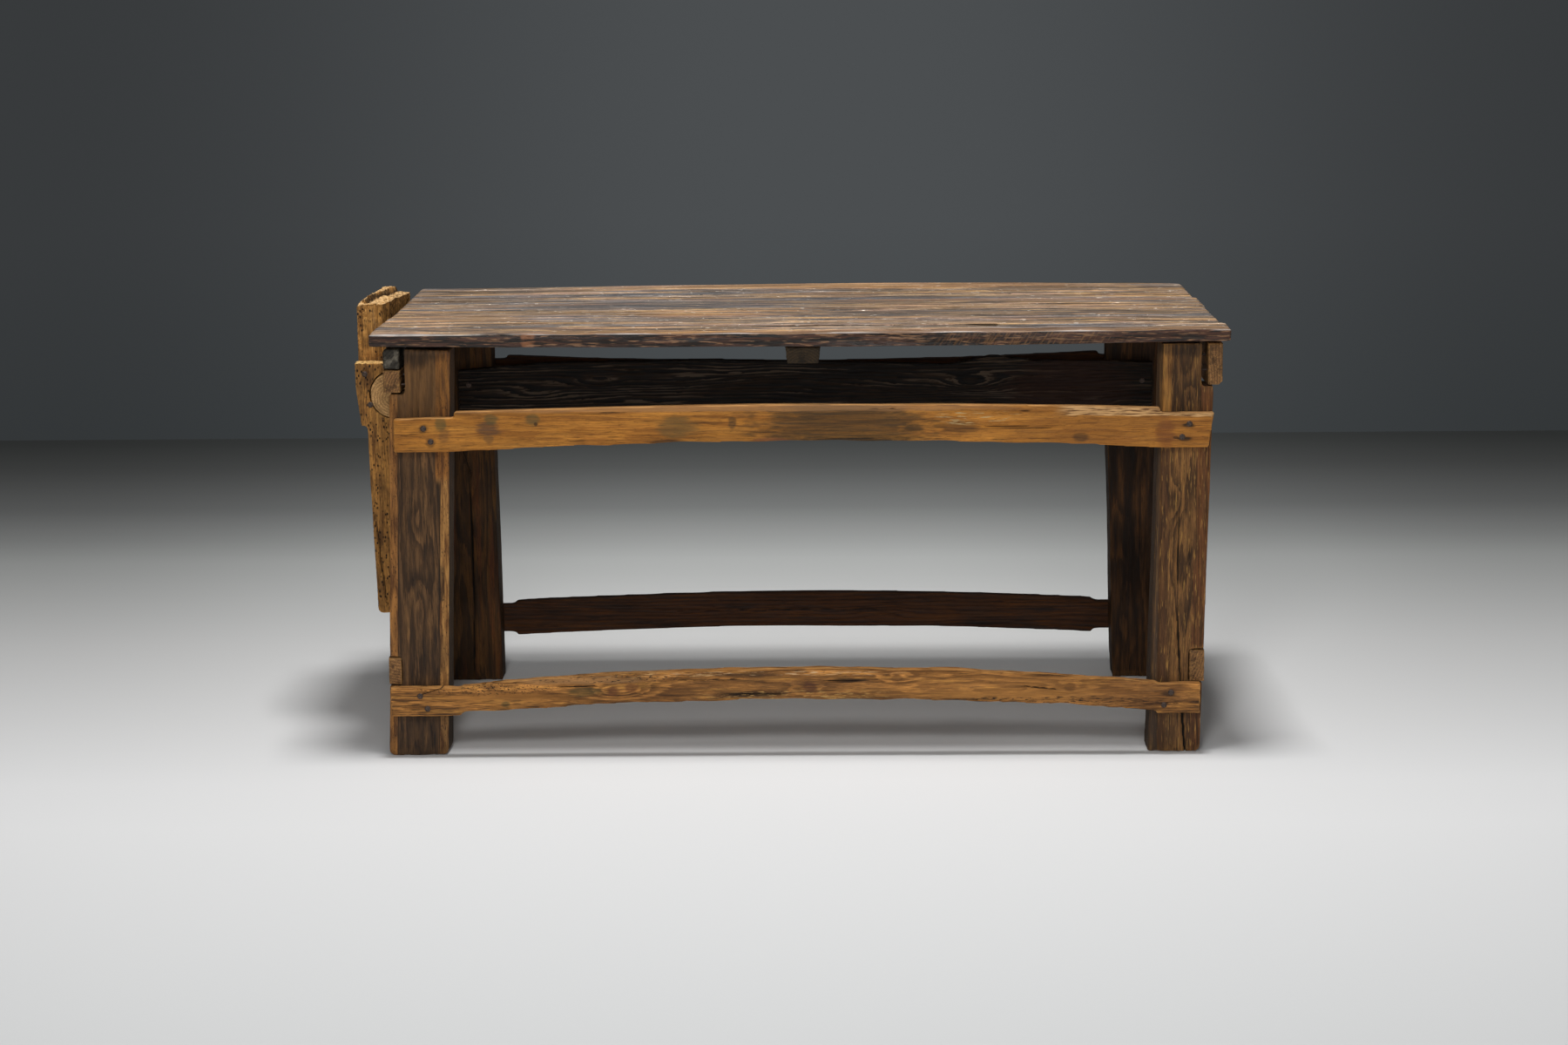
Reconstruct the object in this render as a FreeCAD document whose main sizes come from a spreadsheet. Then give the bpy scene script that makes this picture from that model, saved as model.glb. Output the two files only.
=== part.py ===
import FreeCAD, Part
import math
import os
import Sketcher

# A joiner's workbench: a plank top on four hewn legs, rails nailed across the
# legs front and back, rails let into the legs' outer corners at the ends, and
# an end vise whose jaw hangs on two hooked arms round a fixed round bar.
#
# Lengths are in millimetres. The origin is on the floor under the middle of
# the whole part's box. +X runs along the bench to the right, +Y goes from the
# front to the back, +Z is up.

doc = FreeCAD.newDocument("workbench")
sheet = doc.addObject("Spreadsheet::Sheet", "Sizes")

TABLE = (
    # top
    ("top_length", 1562), ("top_depth", 700), ("bench_height", 800),
    ("top_thickness", 31), ("seat_gap", 0.3), ("overrun", 5),
    ("front_plank_depth", 85), ("mid_front_plank_depth", 240),
    ("mid_back_plank_depth", 140),
    ("mid_front_plank_inset", 10), ("mid_back_plank_inset", 7),
    ("back_plank_inset", 13), ("top_corner_radius", 26),
    ("top_end_skew", 7), ("top_end_square", 60),
    # batten under the top
    ("batten_top_width", 67), ("batten_bottom_width", 59),
    ("batten_height", 33), ("batten_setback", 12),
    # front and back rails
    ("rail_thickness", 23), ("front_rail_end_inset", 33),
    ("front_rail_right_inset", 29), ("front_rail_end_skew", 9),
    ("front_rail_lap_left", 112), ("front_rail_lap_right", 98),
    ("front_upper_rail_height", 65), ("front_upper_rail_drop", 125),
    ("front_upper_rail_shoulder", 10), ("front_upper_rail_rise", 10),
    ("front_upper_rail_end_slope", 3), ("front_upper_rail_under_rise", 16),
    ("front_lower_left_inset", 12), ("front_lower_right_inset", 44),
    ("front_lower_rail_height", 58), ("front_lower_rail_bottom", 79),
    ("front_lower_rail_shoulder", 4), ("front_lower_rail_rise", 31),
    ("front_lower_rail_under_shoulder", 5), ("front_lower_rail_under_rise", 23),
    ("back_rail_left_inset", 48), ("back_rail_right_inset", 56),
    ("back_upper_rail_height", 74), ("back_upper_rail_drop", 101),
    ("back_upper_rail_sag", 14), ("back_upper_rail_shoulder", 8),
    ("back_lower_rail_height", 73), ("back_lower_rail_bottom", 80),
    ("back_lower_rail_rise", 16), ("back_lower_rail_neck", 7),
    ("back_rail_lap", 125),
    # front legs
    ("front_leg_depth", 75), ("front_left_leg_width", 113),
    ("front_left_leg_inset", 27), ("front_left_leg_splay", 24),
    ("front_right_leg_width", 99), ("front_right_leg_inset", 26),
    ("front_right_leg_lean", 15), ("foot_chamfer", 7), ("foot_radius", 10),
    # back legs
    ("back_leg_depth", 65), ("back_left_leg_width", 104),
    ("back_left_leg_inner_drop", 5), ("back_right_leg_width", 131),
    ("back_right_leg_inner_drop", 19), ("back_leg_knee_drop", 169),
    # rails at the two ends
    ("left_end_rail_width", 33), ("left_end_rail_proud", 13),
    ("left_end_rail_height", 44), ("cap_height", 40),
    ("left_notch_gap", 6), ("cap_corner_radius", 9),
    ("right_end_rail_width", 29), ("right_end_rail_proud", 15),
    ("right_end_rail_height", 79), ("right_notch_gap", 10),
    ("end_rail_chamfer", 7),
    ("left_low_end_rail_width", 26), ("left_low_end_rail_bottom", 136),
    ("left_low_end_rail_height", 53), ("low_end_rail_proud", 2),
    ("right_low_end_rail_width", 30), ("right_low_end_rail_bottom", 134),
    ("right_low_end_rail_height", 62),
    # wide board across the back legs' front faces
    ("board_thickness", 25), ("board_left_inset", 81),
    ("board_right_inset", 77), ("board_drop", 100), ("board_height", 149),
    ("board_dip", 12), ("board_end_drop", 19), ("board_hump", 5),
    # vise
    ("jaw_gap", 20), ("jaw_thickness", 53), ("jaw_rise", 26),
    ("jaw_front", 290), ("vise_back_gap", 4), ("jaw_tongue", 38),
    ("jaw_edge_radius", 9), ("jaw_skew", 17),
    ("bar_radius", 45), ("bar_below_rail", 35), ("bar_out", 1),
    ("bearing_clearance", 0.3), ("arm_thickness", 40), ("arm_above", 62),
    ("arm_lip", 3), ("arm_tail_drop", 428), ("arm_waist_drop", 62),
    ("arm_waist_step", 11), ("arm_cheek_taper", 9), ("arm_cheek_drop", 18),
    ("arm_tail_out", 45), ("arm_tail_in", 17), ("arm_back_out", 17),
    ("arm_tail_radius", 12), ("arm_heel", 24),
    ("peg_radius", 7), ("peg_below", 69), ("peg_above", 25),
    ("bar_peg_distance", 61), ("bar_peg_edge_distance", 11), ("peg_clearance", 0.1),
    # nails: square shanks, low eight-sided heads
    ("nail_width", 5), ("nail_length", 62), ("nail_head_radius", 6),
    ("nail_head_height", 1.6),
    ("nail_fit", 0.05), ("nail_inset", 56), ("nail_step", 13),
    ("nail_rise", 12), ("nail_right_shift", 11), ("end_nail_inset", 24), ("end_nail_step", 22),
    ("board_nail_inset", 24), ("arm_nail_inset", 20), ("arm_nail_rise", 40),
    ("arm_nail_drop", 30), ("arm_nail_length", 80),
    # shares chosen by hand
    ("batten_place_share", 0.502), ("hump_place_share", 0.77),
    ("hump_width_share", 0.06), ("dip_place_share", 0.71),
    ("rise_place_share", 0.12), ("bow_place_share", 0.52),
    ("sag_place_share", 0.39), ("nail_height_share", 0.5),
)


class Size:
    """A value together with the sheet expression that it comes from."""

    def __init__(self, value, text):
        self.value = float(value)
        self.text = text

    def __add__(self, other):
        other = size_of(other)
        return Size(self.value + other.value, "(%s + %s)" % (self.text, other.text))

    def __radd__(self, other):
        return size_of(other) + self

    def __sub__(self, other):
        other = size_of(other)
        return Size(self.value - other.value, "(%s - %s)" % (self.text, other.text))

    def __rsub__(self, other):
        return size_of(other) - self

    def __mul__(self, other):
        other = size_of(other)
        return Size(self.value * other.value, "(%s * %s)" % (self.text, other.text))

    def __rmul__(self, other):
        return size_of(other) * self

    def __truediv__(self, other):
        other = size_of(other)
        return Size(self.value / other.value, "(%s / %s)" % (self.text, other.text))

    def __rtruediv__(self, other):
        return size_of(other) / self

    def __neg__(self):
        return Size(-self.value, "(0 - %s)" % self.text)


def size_of(value):
    return value if isinstance(value, Size) else Size(value, repr(float(value)))


def root(size):
    return Size(math.sqrt(size.value), "sqrt(%s)" % size.text)


class Names:
    pass


s = Names()
for row, (name, value) in enumerate(TABLE, start=1):
    sheet.set("A%d" % row, name)
    sheet.set("B%d" % row, str(value))
    sheet.setAlias("B%d" % row, name)
    setattr(s, name, Size(value, "Sizes." + name))
doc.recompute()

nodes = []


def keep(piece, label):
    piece.Label = label
    nodes.append(piece)
    return piece


def bind(thing, prop, size):
    thing.setExpression(prop, size_of(size).text)


def place(thing, x, y, z):
    bind(thing, "Placement.Base.x", x)
    bind(thing, "Placement.Base.y", y)
    bind(thing, "Placement.Base.z", z)


def block(name, low, size):
    """A squared length of timber from its low corner and its three sizes."""
    thing = doc.addObject("Part::Box", name)
    for prop, value in zip(("Length", "Width", "Height"), size):
        bind(thing, prop, value)
    place(thing, *low)
    return thing


def outline(body, role, points):
    """A closed sketch: every corner is placed from the sheet. An item with
    three values, the first of them True, is a point that an arc passes."""
    sketch = body.newObject("Sketcher::SketchObject", body.Name + "Outline")
    plane = [p for p in body.Origin.OriginFeatures if p.Role == role][0]
    sketch.AttachmentSupport = [(plane, "")]
    sketch.MapMode = "FlatFace"
    corners = [p for p in points if len(p) == 2]
    vias = {}
    seen = -1
    for p in points:
        if len(p) == 2:
            seen += 1
        else:
            vias[seen] = (p[1], p[2])
    count = len(corners)

    def spot(pair):
        return FreeCAD.Vector(size_of(pair[0]).value, size_of(pair[1]).value, 0)

    ids = []
    for i in range(count):
        a, b = spot(corners[i]), spot(corners[(i + 1) % count])
        if i in vias:
            arc = Part.Arc(a, spot(vias[i]), b)
            turns = (spot(vias[i]) - a).cross(b - a).z
            ids.append((sketch.addGeometry(arc), 1 if turns > 0 else 2))
        else:
            ids.append((sketch.addGeometry(Part.LineSegment(a, b)), 1))
    for i, (edge, start) in enumerate(ids):
        after, begin = ids[(i + 1) % count]
        end = 2 if start == 1 else 1
        sketch.addConstraint(Sketcher.Constraint("Coincident", edge, end, after, begin))
        for kind, size in zip(("DistanceX", "DistanceY"), corners[i]):
            size = size_of(size)
            at = sketch.addConstraint(Sketcher.Constraint(kind, -1, 1, edge, start, size.value))
            bind(sketch, "Constraints[%d]" % at, size)
    for i, via in vias.items():
        point = sketch.addGeometry(Part.Point(spot(via)), True)
        for kind, size in zip(("DistanceX", "DistanceY"), via):
            size = size_of(size)
            at = sketch.addConstraint(Sketcher.Constraint(kind, -1, 1, point, 1, size.value))
            bind(sketch, "Constraints[%d]" % at, size)
        sketch.addConstraint(Sketcher.Constraint("PointOnObject", point, 1, ids[i][0]))
    return sketch


def sawn(name, role, points, thickness, low):
    """A piece sawn to an outline: the outline padded by the thickness."""
    body = doc.addObject("PartDesign::Body", name)
    sketch = outline(body, role, points)
    pad = body.newObject("PartDesign::Pad", name + "Pad")
    pad.Profile = sketch
    pad.Reversed = role == "XZ_Plane"
    bind(pad, "Length", thickness)
    body.Tip = pad
    place(body, *low)
    doc.recompute()
    return body


def ease(body, kind, size, chosen):
    """Fillet or chamfer of the edges whose middle point passes the test."""
    tip = body.Tip
    names = []
    for i, edge in enumerate(tip.Shape.Edges, start=1):
        middle = edge.valueAt((edge.FirstParameter + edge.LastParameter) / 2)
        if chosen(middle, edge):
            names.append("Edge%d" % i)
    if not names:
        raise RuntimeError(body.Name + ": no edge to ease")
    feature = body.newObject("PartDesign::" + kind, body.Name + kind + str(len(body.Group)))
    feature.Base = (tip, names)
    bind(feature, "Radius" if kind == "Fillet" else "Size", size)
    body.Tip = feature
    doc.recompute()
    return feature


def nail(name, x, y, z, way, length):
    """One nail: where its head seats, and the side that the head looks to."""
    axis = "xyz".index(way[1])
    sign = 1 if way[0] == "+" else -1
    turn = {"+x": (FreeCAD.Vector(0, 1, 0), 90), "-x": (FreeCAD.Vector(0, 1, 0), -90),
            "+y": (FreeCAD.Vector(1, 0, 0), -90), "-y": (FreeCAD.Vector(1, 0, 0), 90)}[way]
    seat = [x, y, z]
    head = doc.addObject("Part::Prism", name + "Head")
    head.Polygon = 8
    head.Placement = FreeCAD.Placement(FreeCAD.Vector(), FreeCAD.Rotation(*turn))
    bind(head, "Circumradius", s.nail_head_radius)
    bind(head, "Height", s.nail_head_height)
    place(head, *seat)
    pair = [head]
    for suffix, extra, out in (("Shank", size_of(0), size_of(0)),
                               ("Hole", s.nail_fit, s.overrun)):
        low = [v - s.nail_width / 2 - extra for v in seat]
        side = [s.nail_width + 2 * extra for v in seat]
        side[axis] = length + extra + out
        low[axis] = seat[axis] - (length + extra if sign > 0 else out)
        pair.append(block(name + suffix, low, side))
    return pair


def nails(label, rows, length):
    """A set of nails as one node, and the holes that it needs."""
    solid, holes = [], []
    for i, row in enumerate(rows):
        head, shank, hole = nail("%s%d" % (label, i), *row, length)
        solid += [head, shank]
        holes.append(hole)
    node = doc.addObject("Part::MultiFuse", label)
    node.Shapes = solid
    keep(node, label)
    tool = doc.addObject("Part::MultiFuse", label + "_holes")
    tool.Shapes = holes
    return tool


def bored(label, piece, tools):
    """The piece with the holes of its fixings cut from it."""
    for i, tool in enumerate(tools):
        cut = doc.addObject("Part::Cut", "%s_bored%d" % (label, i))
        cut.Base = piece
        cut.Tool = tool
        piece = cut
    return keep(piece, label)


# places that several pieces share, before the part's box is centred
shift = (s.jaw_gap + s.jaw_thickness) / 2
left_end = -s.top_length / 2
right_end = s.top_length / 2
under_top = s.bench_height - s.top_thickness
front_edge = -s.top_depth / 2
front_face = front_edge + s.rail_thickness          # front faces of the front legs
back_face = -front_face                             # rear faces of the back legs
back_leg_front = back_face - s.back_leg_depth
end_length = back_face - front_face
zero = size_of(0)
half = 1 / root(size_of(2))                         # sine and cosine of 45 degrees

# Top: four planks side by side, nearly touching, with uneven right ends.
plank_rows = (
    ("top_plank_front", front_edge, s.front_plank_depth, zero),
    ("top_plank_mid_front", front_edge + s.front_plank_depth + s.seat_gap,
     s.mid_front_plank_depth - s.seat_gap, s.mid_front_plank_inset),
    ("top_plank_mid_back", front_edge + s.front_plank_depth + s.mid_front_plank_depth
     + s.seat_gap, s.mid_back_plank_depth - s.seat_gap, s.mid_back_plank_inset),
)
back_low = (front_edge + s.front_plank_depth + s.mid_front_plank_depth
            + s.mid_back_plank_depth + s.seat_gap)
square_y = -s.top_end_square


def left_at(y):
    """The left end, which runs out of square in front of square_y."""
    return left_end - s.top_end_skew * (y - square_y) / (front_edge - square_y)


for label, low_y, depth, inset in plank_rows:
    high_y = low_y + depth
    if label == "top_plank_front":
        left = [(left_at(high_y), high_y), (left_at(low_y), low_y)]
    elif label == "top_plank_mid_front":
        left = [(left_end, high_y), (left_end, square_y), (left_at(low_y), low_y)]
    else:
        left = [(left_end, high_y), (left_end, low_y)]
    keep(sawn(label, "XY_Plane",
              left + [(right_end - inset, low_y), (right_end - inset, high_y)],
              s.top_thickness, (shift, zero, under_top)), label)
back_x = right_end - s.back_plank_inset
corner = s.top_corner_radius
bend = corner * (1 - half)
keep(sawn("top_plank_back", "XY_Plane",
          [(left_end, back_low), (back_x, back_low), (back_x, -front_edge - corner),
           (True, back_x - bend, -front_edge - bend), (back_x - corner, -front_edge),
           (left_end, -front_edge)],
          s.top_thickness, (shift, zero, under_top)), "top_plank_back")

# Batten under the middle of the top, wider at its top face.
batten_x = left_end + s.batten_place_share * s.top_length
keep(sawn("centre_batten", "XZ_Plane",
          [(batten_x - s.batten_bottom_width / 2, under_top - s.batten_height),
           (batten_x + s.batten_bottom_width / 2, under_top - s.batten_height),
           (batten_x + s.batten_top_width / 2, under_top),
           (batten_x - s.batten_top_width / 2, under_top)],
          s.top_depth - 2 * s.batten_setback,
          (shift, front_edge + s.batten_setback, zero)), "centre_batten")

# End rails: squared lengths from front to back in the legs' outer corners.
leg_left = left_end + s.front_left_leg_inset        # front left leg's side at the top
leg_right = right_end - s.front_right_leg_inset
left_rail_x = leg_left - s.left_end_rail_proud
left_rail_in = left_rail_x + s.left_end_rail_width
cap_bottom = under_top - s.cap_height
left_rail_low = cap_bottom - s.left_end_rail_height
right_rail_low = under_top - s.right_end_rail_height
right_rail_out = leg_right + s.right_end_rail_proud
right_rail_in = right_rail_out - s.right_end_rail_width


def leg_side(top_x, splay, height):
    """The side of a leg that leans evenly from the top to the floor."""
    return top_x - splay * (under_top - height) / under_top


left_low_top = s.left_low_end_rail_bottom + s.left_low_end_rail_height
right_low_top = s.right_low_end_rail_bottom + s.right_low_end_rail_height
left_low_x = (leg_side(leg_left, s.front_left_leg_splay, left_low_top)
              - s.low_end_rail_proud)
left_low_in = left_low_x + s.left_low_end_rail_width
right_low_out = (leg_side(leg_right, s.front_right_leg_lean, right_low_top)
                 + s.low_end_rail_proud)
right_low_in = right_low_out - s.right_low_end_rail_width

nail_y = (front_face + s.end_nail_inset, back_face - s.end_nail_inset)


def end_nails(label, x, low, height, way):
    rows = []
    for y, step in zip(nail_y, (s.end_nail_step, -s.end_nail_step)):
        rows.append((x, y, low + height / 3, way))
        rows.append((x, y + step, low + height * 2 / 3, way))
    return nails(label, rows, s.nail_length)


left_upper_holes = end_nails("left_upper_end_rail_nails", left_rail_x + shift,
                             left_rail_low, s.left_end_rail_height, "-x")
right_upper_holes = end_nails("right_upper_end_rail_nails", right_rail_out + shift,
                              right_rail_low, s.right_end_rail_height,
                              "+x")
left_low_holes = end_nails("left_lower_end_rail_nails", left_low_x + shift,
                           s.left_low_end_rail_bottom, s.left_low_end_rail_height, "-x")
right_low_holes = end_nails("right_lower_end_rail_nails", right_low_out + shift,
                            s.right_low_end_rail_bottom, s.right_low_end_rail_height, "+x")

# Fulcrum bar: a round bar under the left upper end rail, flattened where it
# seats against the rail, and held up to it by two wooden pegs.
bar_x = left_end + s.bar_out
bar_z = left_rail_low - s.bar_below_rail
jaw_low_y = front_edge + s.jaw_front
jaw_high_y = back_leg_front - s.vise_back_gap - s.arm_thickness
jaw_width = jaw_high_y - jaw_low_y
bar_front = jaw_low_y - s.arm_thickness
bar_length = jaw_width + 2 * s.arm_thickness
bar_rod = doc.addObject("Part::Cylinder", "bar_rod")
bar_rod.Placement = FreeCAD.Placement(
    FreeCAD.Vector(), FreeCAD.Rotation(FreeCAD.Vector(1, 0, 0), -90))
bind(bar_rod, "Radius", s.bar_radius)
bind(bar_rod, "Height", bar_length)
place(bar_rod, bar_x + shift, bar_front, bar_z)
bar_seat = block("bar_seat",
                 (left_rail_x - s.seat_gap + shift, bar_front - s.overrun,
                  left_rail_low),
                 (s.left_end_rail_width + s.bar_radius,
                  bar_length + 2 * s.overrun, s.bar_radius))
bar_cut = doc.addObject("Part::Cut", "bar_cut")
bar_cut.Base = bar_rod
bar_cut.Tool = bar_seat

peg_x = left_rail_x + s.bar_peg_edge_distance
pegs, peg_holes = [], []
for i, y in enumerate((bar_front + s.arm_thickness + s.bar_peg_distance,
                       bar_front + bar_length - s.arm_thickness - s.bar_peg_distance)):
    for kind, extra, into in (("peg", zero, zero), ("peg_hole", s.peg_clearance, s.overrun)):
        peg = doc.addObject("Part::Cylinder", "%s%d" % (kind, i))
        bind(peg, "Radius", s.peg_radius + extra)
        bind(peg, "Height", s.peg_below + into + s.peg_above + extra)
        place(peg, peg_x + shift, y, left_rail_low - s.peg_below - into)
        (pegs if kind == "peg" else peg_holes).append(peg)
peg_node = doc.addObject("Part::MultiFuse", "fulcrum_bar_pegs")
peg_node.Shapes = pegs
keep(peg_node, "fulcrum_bar_pegs")
peg_tool = doc.addObject("Part::MultiFuse", "peg_holes")
peg_tool.Shapes = peg_holes
bored("fulcrum_bar", bar_cut, [peg_tool])

bored("left_upper_end_rail",
      block("left_upper_rail_block", (left_rail_x + shift, front_face, left_rail_low),
            (s.left_end_rail_width, end_length, s.left_end_rail_height)),
      [left_upper_holes, peg_tool])

# Cap piece between the left end rail and the top, its outer top edge rounded.
cap = sawn("left_upper_end_rail_cap", "XZ_Plane",
           [(left_rail_x, cap_bottom), (left_rail_in, cap_bottom), (left_rail_in, under_top),
            (left_rail_x, under_top)],
           end_length, (shift, front_face, zero))
ease(cap, "Fillet", s.cap_corner_radius,
     lambda m, e: abs(m.x - left_rail_x.value) < s.seat_gap.value
     and abs(m.z - under_top.value) < s.seat_gap.value)
keep(cap, "left_upper_end_rail_cap")

right_rail = sawn("right_upper_rail_body", "XZ_Plane",
                  [(right_rail_in, right_rail_low),
                   (right_rail_out - s.end_rail_chamfer, right_rail_low),
                   (right_rail_out, right_rail_low + s.end_rail_chamfer),
                   (right_rail_out, under_top), (right_rail_in, under_top)],
                  end_length, (shift, front_face, zero))
bored("right_upper_end_rail", right_rail, [right_upper_holes])
bored("left_lower_end_rail",
      block("left_low_rail_block", (left_low_x + shift, front_face, s.left_low_end_rail_bottom),
            (s.left_low_end_rail_width, end_length, s.left_low_end_rail_height)),
      [left_low_holes])
bored("right_lower_end_rail",
      block("right_low_rail_block", (right_low_in + shift, front_face, s.right_low_end_rail_bottom),
            (s.right_low_end_rail_width, end_length, s.right_low_end_rail_height)),
      [right_low_holes])


def shouldered(x0, x1, low, high, skew, slope, step, rise, under_step, under_rise):
    """Outline of a bowed rail whose ends are cut narrower where they lap."""
    in0, in1 = fu_left + s.front_rail_lap_left, fu_right - s.front_rail_lap_right
    middle = x0 + s.bow_place_share * (x1 - x0)
    points = [(x0, low), (in0, low), (in0, low + under_step),
              (True, middle, low + under_step + under_rise), (in1, low + under_step),
              (in1, low), (x1 - skew, low)]
    if not under_step.value:
        points = [(x0, low), (in0, low), (True, middle, low + under_rise), (in1, low),
                  (x1 - skew, low)]
    return points + [(x1, high), (in1, high), (in1, high + step),
                     (True, middle, high + step + rise), (in0, high + step), (in0, high),
                     (x0, high - slope)]


def pair_of_nails(label, x0, x1, y, low, height, way):
    """Two nails at each end of a rail, the inner one lower."""
    z = low + s.nail_height_share * height
    rows = []
    for x, step in ((x0 + s.nail_inset, s.nail_step), (x1 - s.nail_inset, -s.nail_step)):
        rows.append((x + shift, y, z + s.nail_rise, way))
        rows.append((x + step + shift, y, z - s.nail_rise, way))
    return nails(label, rows, s.nail_length)


# Front rails: bowed boards lapped on the legs' front faces.
fu_left = left_end + s.front_rail_end_inset
fu_right = right_end - s.front_rail_right_inset
fu_top = under_top - s.front_upper_rail_drop
fu_low = fu_top - s.front_upper_rail_height
front_upper_holes = pair_of_nails("front_upper_rail_nails", fu_left,
                                  fu_right + s.nail_right_shift, front_edge,
                                  fu_low, s.front_upper_rail_height, "-y")
bored("front_upper_rail",
      sawn("front_upper_body", "XZ_Plane",
           shouldered(fu_left, fu_right, fu_low, fu_top, s.front_rail_end_skew,
                      s.front_upper_rail_end_slope, s.front_upper_rail_shoulder,
                      s.front_upper_rail_rise, zero, s.front_upper_rail_under_rise),
           s.rail_thickness, (shift, front_edge, zero)), [front_upper_holes])

fl_left = left_end + s.front_lower_left_inset
fl_right = right_end - s.front_lower_right_inset
fl_top = s.front_lower_rail_bottom + s.front_lower_rail_height
front_lower_holes = pair_of_nails("front_lower_rail_nails", fl_left, fl_right, front_edge,
                                  s.front_lower_rail_bottom, s.front_lower_rail_height, "-y")
bored("front_lower_rail",
      sawn("front_lower_body", "XZ_Plane",
           shouldered(fl_left, fl_right, s.front_lower_rail_bottom, fl_top, zero, zero,
                      s.front_lower_rail_shoulder, s.front_lower_rail_rise,
                      s.front_lower_rail_under_shoulder, s.front_lower_rail_under_rise),
           s.rail_thickness, (shift, front_edge, zero)), [front_lower_holes])

# Back rails: lapped on the back legs' rear faces, with thinner ends.
bk_left = left_end + s.back_rail_left_inset
bk_right = right_end - s.back_rail_right_inset
bu_top = under_top - s.back_upper_rail_drop
bu_low = bu_top - s.back_upper_rail_height
sag_x = bk_left + s.sag_place_share * (bk_right - bk_left)
back_upper_holes = pair_of_nails("back_upper_rail_nails", bk_left, bk_right, -front_edge,
                                 bu_low, s.back_upper_rail_height, "+y")
bored("back_upper_rail",
      sawn("back_upper_body", "XZ_Plane",
           [(bk_left, bu_low), (bk_right, bu_low), (bk_right, bu_top - s.back_upper_rail_shoulder),
            (bk_right - s.back_rail_lap, bu_top - s.back_upper_rail_shoulder),
            (bk_right - s.back_rail_lap, bu_top),
            (True, sag_x, bu_top - s.back_upper_rail_sag),
            (bk_left + s.back_rail_lap, bu_top),
            (bk_left + s.back_rail_lap, bu_top - s.back_upper_rail_shoulder),
            (bk_left, bu_top - s.back_upper_rail_shoulder)],
           s.rail_thickness, (shift, back_face, zero)), [back_upper_holes])

bl_low = s.back_lower_rail_bottom
bl_top = bl_low + s.back_lower_rail_height
neck = s.back_lower_rail_neck
bl_mid = bk_left + s.bow_place_share * (bk_right - bk_left)
back_lower_holes = pair_of_nails("back_lower_rail_nails", bk_left, bk_right, -front_edge,
                                 bl_low, s.back_lower_rail_height, "+y")
bored("back_lower_rail",
      sawn("back_lower_body", "XZ_Plane",
           [(bk_left, bl_low + neck), (bk_left + s.back_rail_lap + neck, bl_low + neck),
            (bk_left + s.back_rail_lap + neck, bl_low),
            (True, bl_mid, bl_low + s.back_lower_rail_rise),
            (bk_right - s.back_rail_lap - neck, bl_low),
            (bk_right - s.back_rail_lap - neck, bl_low + neck), (bk_right, bl_low + neck),
            (bk_right, bl_top - neck), (bk_right - s.back_rail_lap - neck, bl_top - neck),
            (bk_right - s.back_rail_lap - neck, bl_top),
            (True, bl_mid, bl_top + s.back_lower_rail_rise),
            (bk_left + s.back_rail_lap + neck, bl_top),
            (bk_left + s.back_rail_lap + neck, bl_top - neck), (bk_left, bl_top - neck)],
           s.rail_thickness, (shift, back_face, zero)), [back_lower_holes])

# Wide board: nailed across the back legs' front faces, its top edge uneven.
wb_left = left_end + s.board_left_inset
wb_right = right_end - s.board_right_inset
wb_span = wb_right - wb_left
wb_top = under_top - s.board_drop
wb_low = wb_top - s.board_height
hump = wb_left + s.hump_place_share * wb_span
wide = s.hump_width_share * wb_span
board_y = back_leg_front - s.board_thickness
board_rows = []
for x, step in ((wb_left + s.board_nail_inset, s.nail_step),
                (wb_right - s.board_nail_inset, -s.nail_step)):
    board_rows.append((x + shift, board_y, wb_top - s.board_height / 3, "-y"))
    board_rows.append((x + step + shift, board_y, wb_low + s.board_height / 4, "-y"))
board_holes = nails("wide_back_board_nails", board_rows, s.nail_length)
bored("wide_back_board",
      sawn("wide_board_body", "XZ_Plane",
           [(wb_left, wb_low), (wb_right, wb_low),
            (wb_right, wb_top - s.board_end_drop / 2),
            (hump + wide, wb_top - s.board_dip / 2), (hump, wb_top + s.board_hump),
            (hump - wide, wb_top - s.board_dip),
            (wb_left + s.dip_place_share * wb_span / 2, wb_top),
            (wb_left + s.rise_place_share * wb_span, wb_top - s.board_hump),
            (wb_left, wb_top - s.board_end_drop)],
           s.board_thickness, (shift, board_y, zero)), [board_holes])

# Front left leg: leans out to the left at the foot; its outer corner is
# notched for the upper and the lower end rail.
fll = leg_left
wall = left_rail_in + s.left_notch_gap
inner_top = leg_left + s.front_left_leg_width
front_left = sawn("front_left_leg_body", "XZ_Plane",
    [(fll - s.front_left_leg_splay + s.foot_chamfer, zero),
     (inner_top - s.front_left_leg_splay - s.foot_radius, zero),
     (True, inner_top - s.front_left_leg_splay - s.foot_radius * (1 - half),
      s.foot_radius * (1 - half)),
     (leg_side(inner_top, s.front_left_leg_splay, s.foot_radius), s.foot_radius),
     (inner_top, under_top), (wall, under_top), (wall, left_rail_low),
     (leg_side(fll, s.front_left_leg_splay, left_rail_low), left_rail_low),
     (leg_side(fll, s.front_left_leg_splay, left_low_top), left_low_top),
     (left_low_in, left_low_top), (left_low_in, s.left_low_end_rail_bottom),
     (leg_side(fll, s.front_left_leg_splay, s.left_low_end_rail_bottom),
      s.left_low_end_rail_bottom),
     (leg_side(fll, s.front_left_leg_splay, s.foot_chamfer), s.foot_chamfer)],
    s.front_leg_depth, (shift, front_face, zero))
bored("front_left_leg", front_left,
      [front_upper_holes, front_lower_holes, left_upper_holes, left_low_holes])

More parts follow.
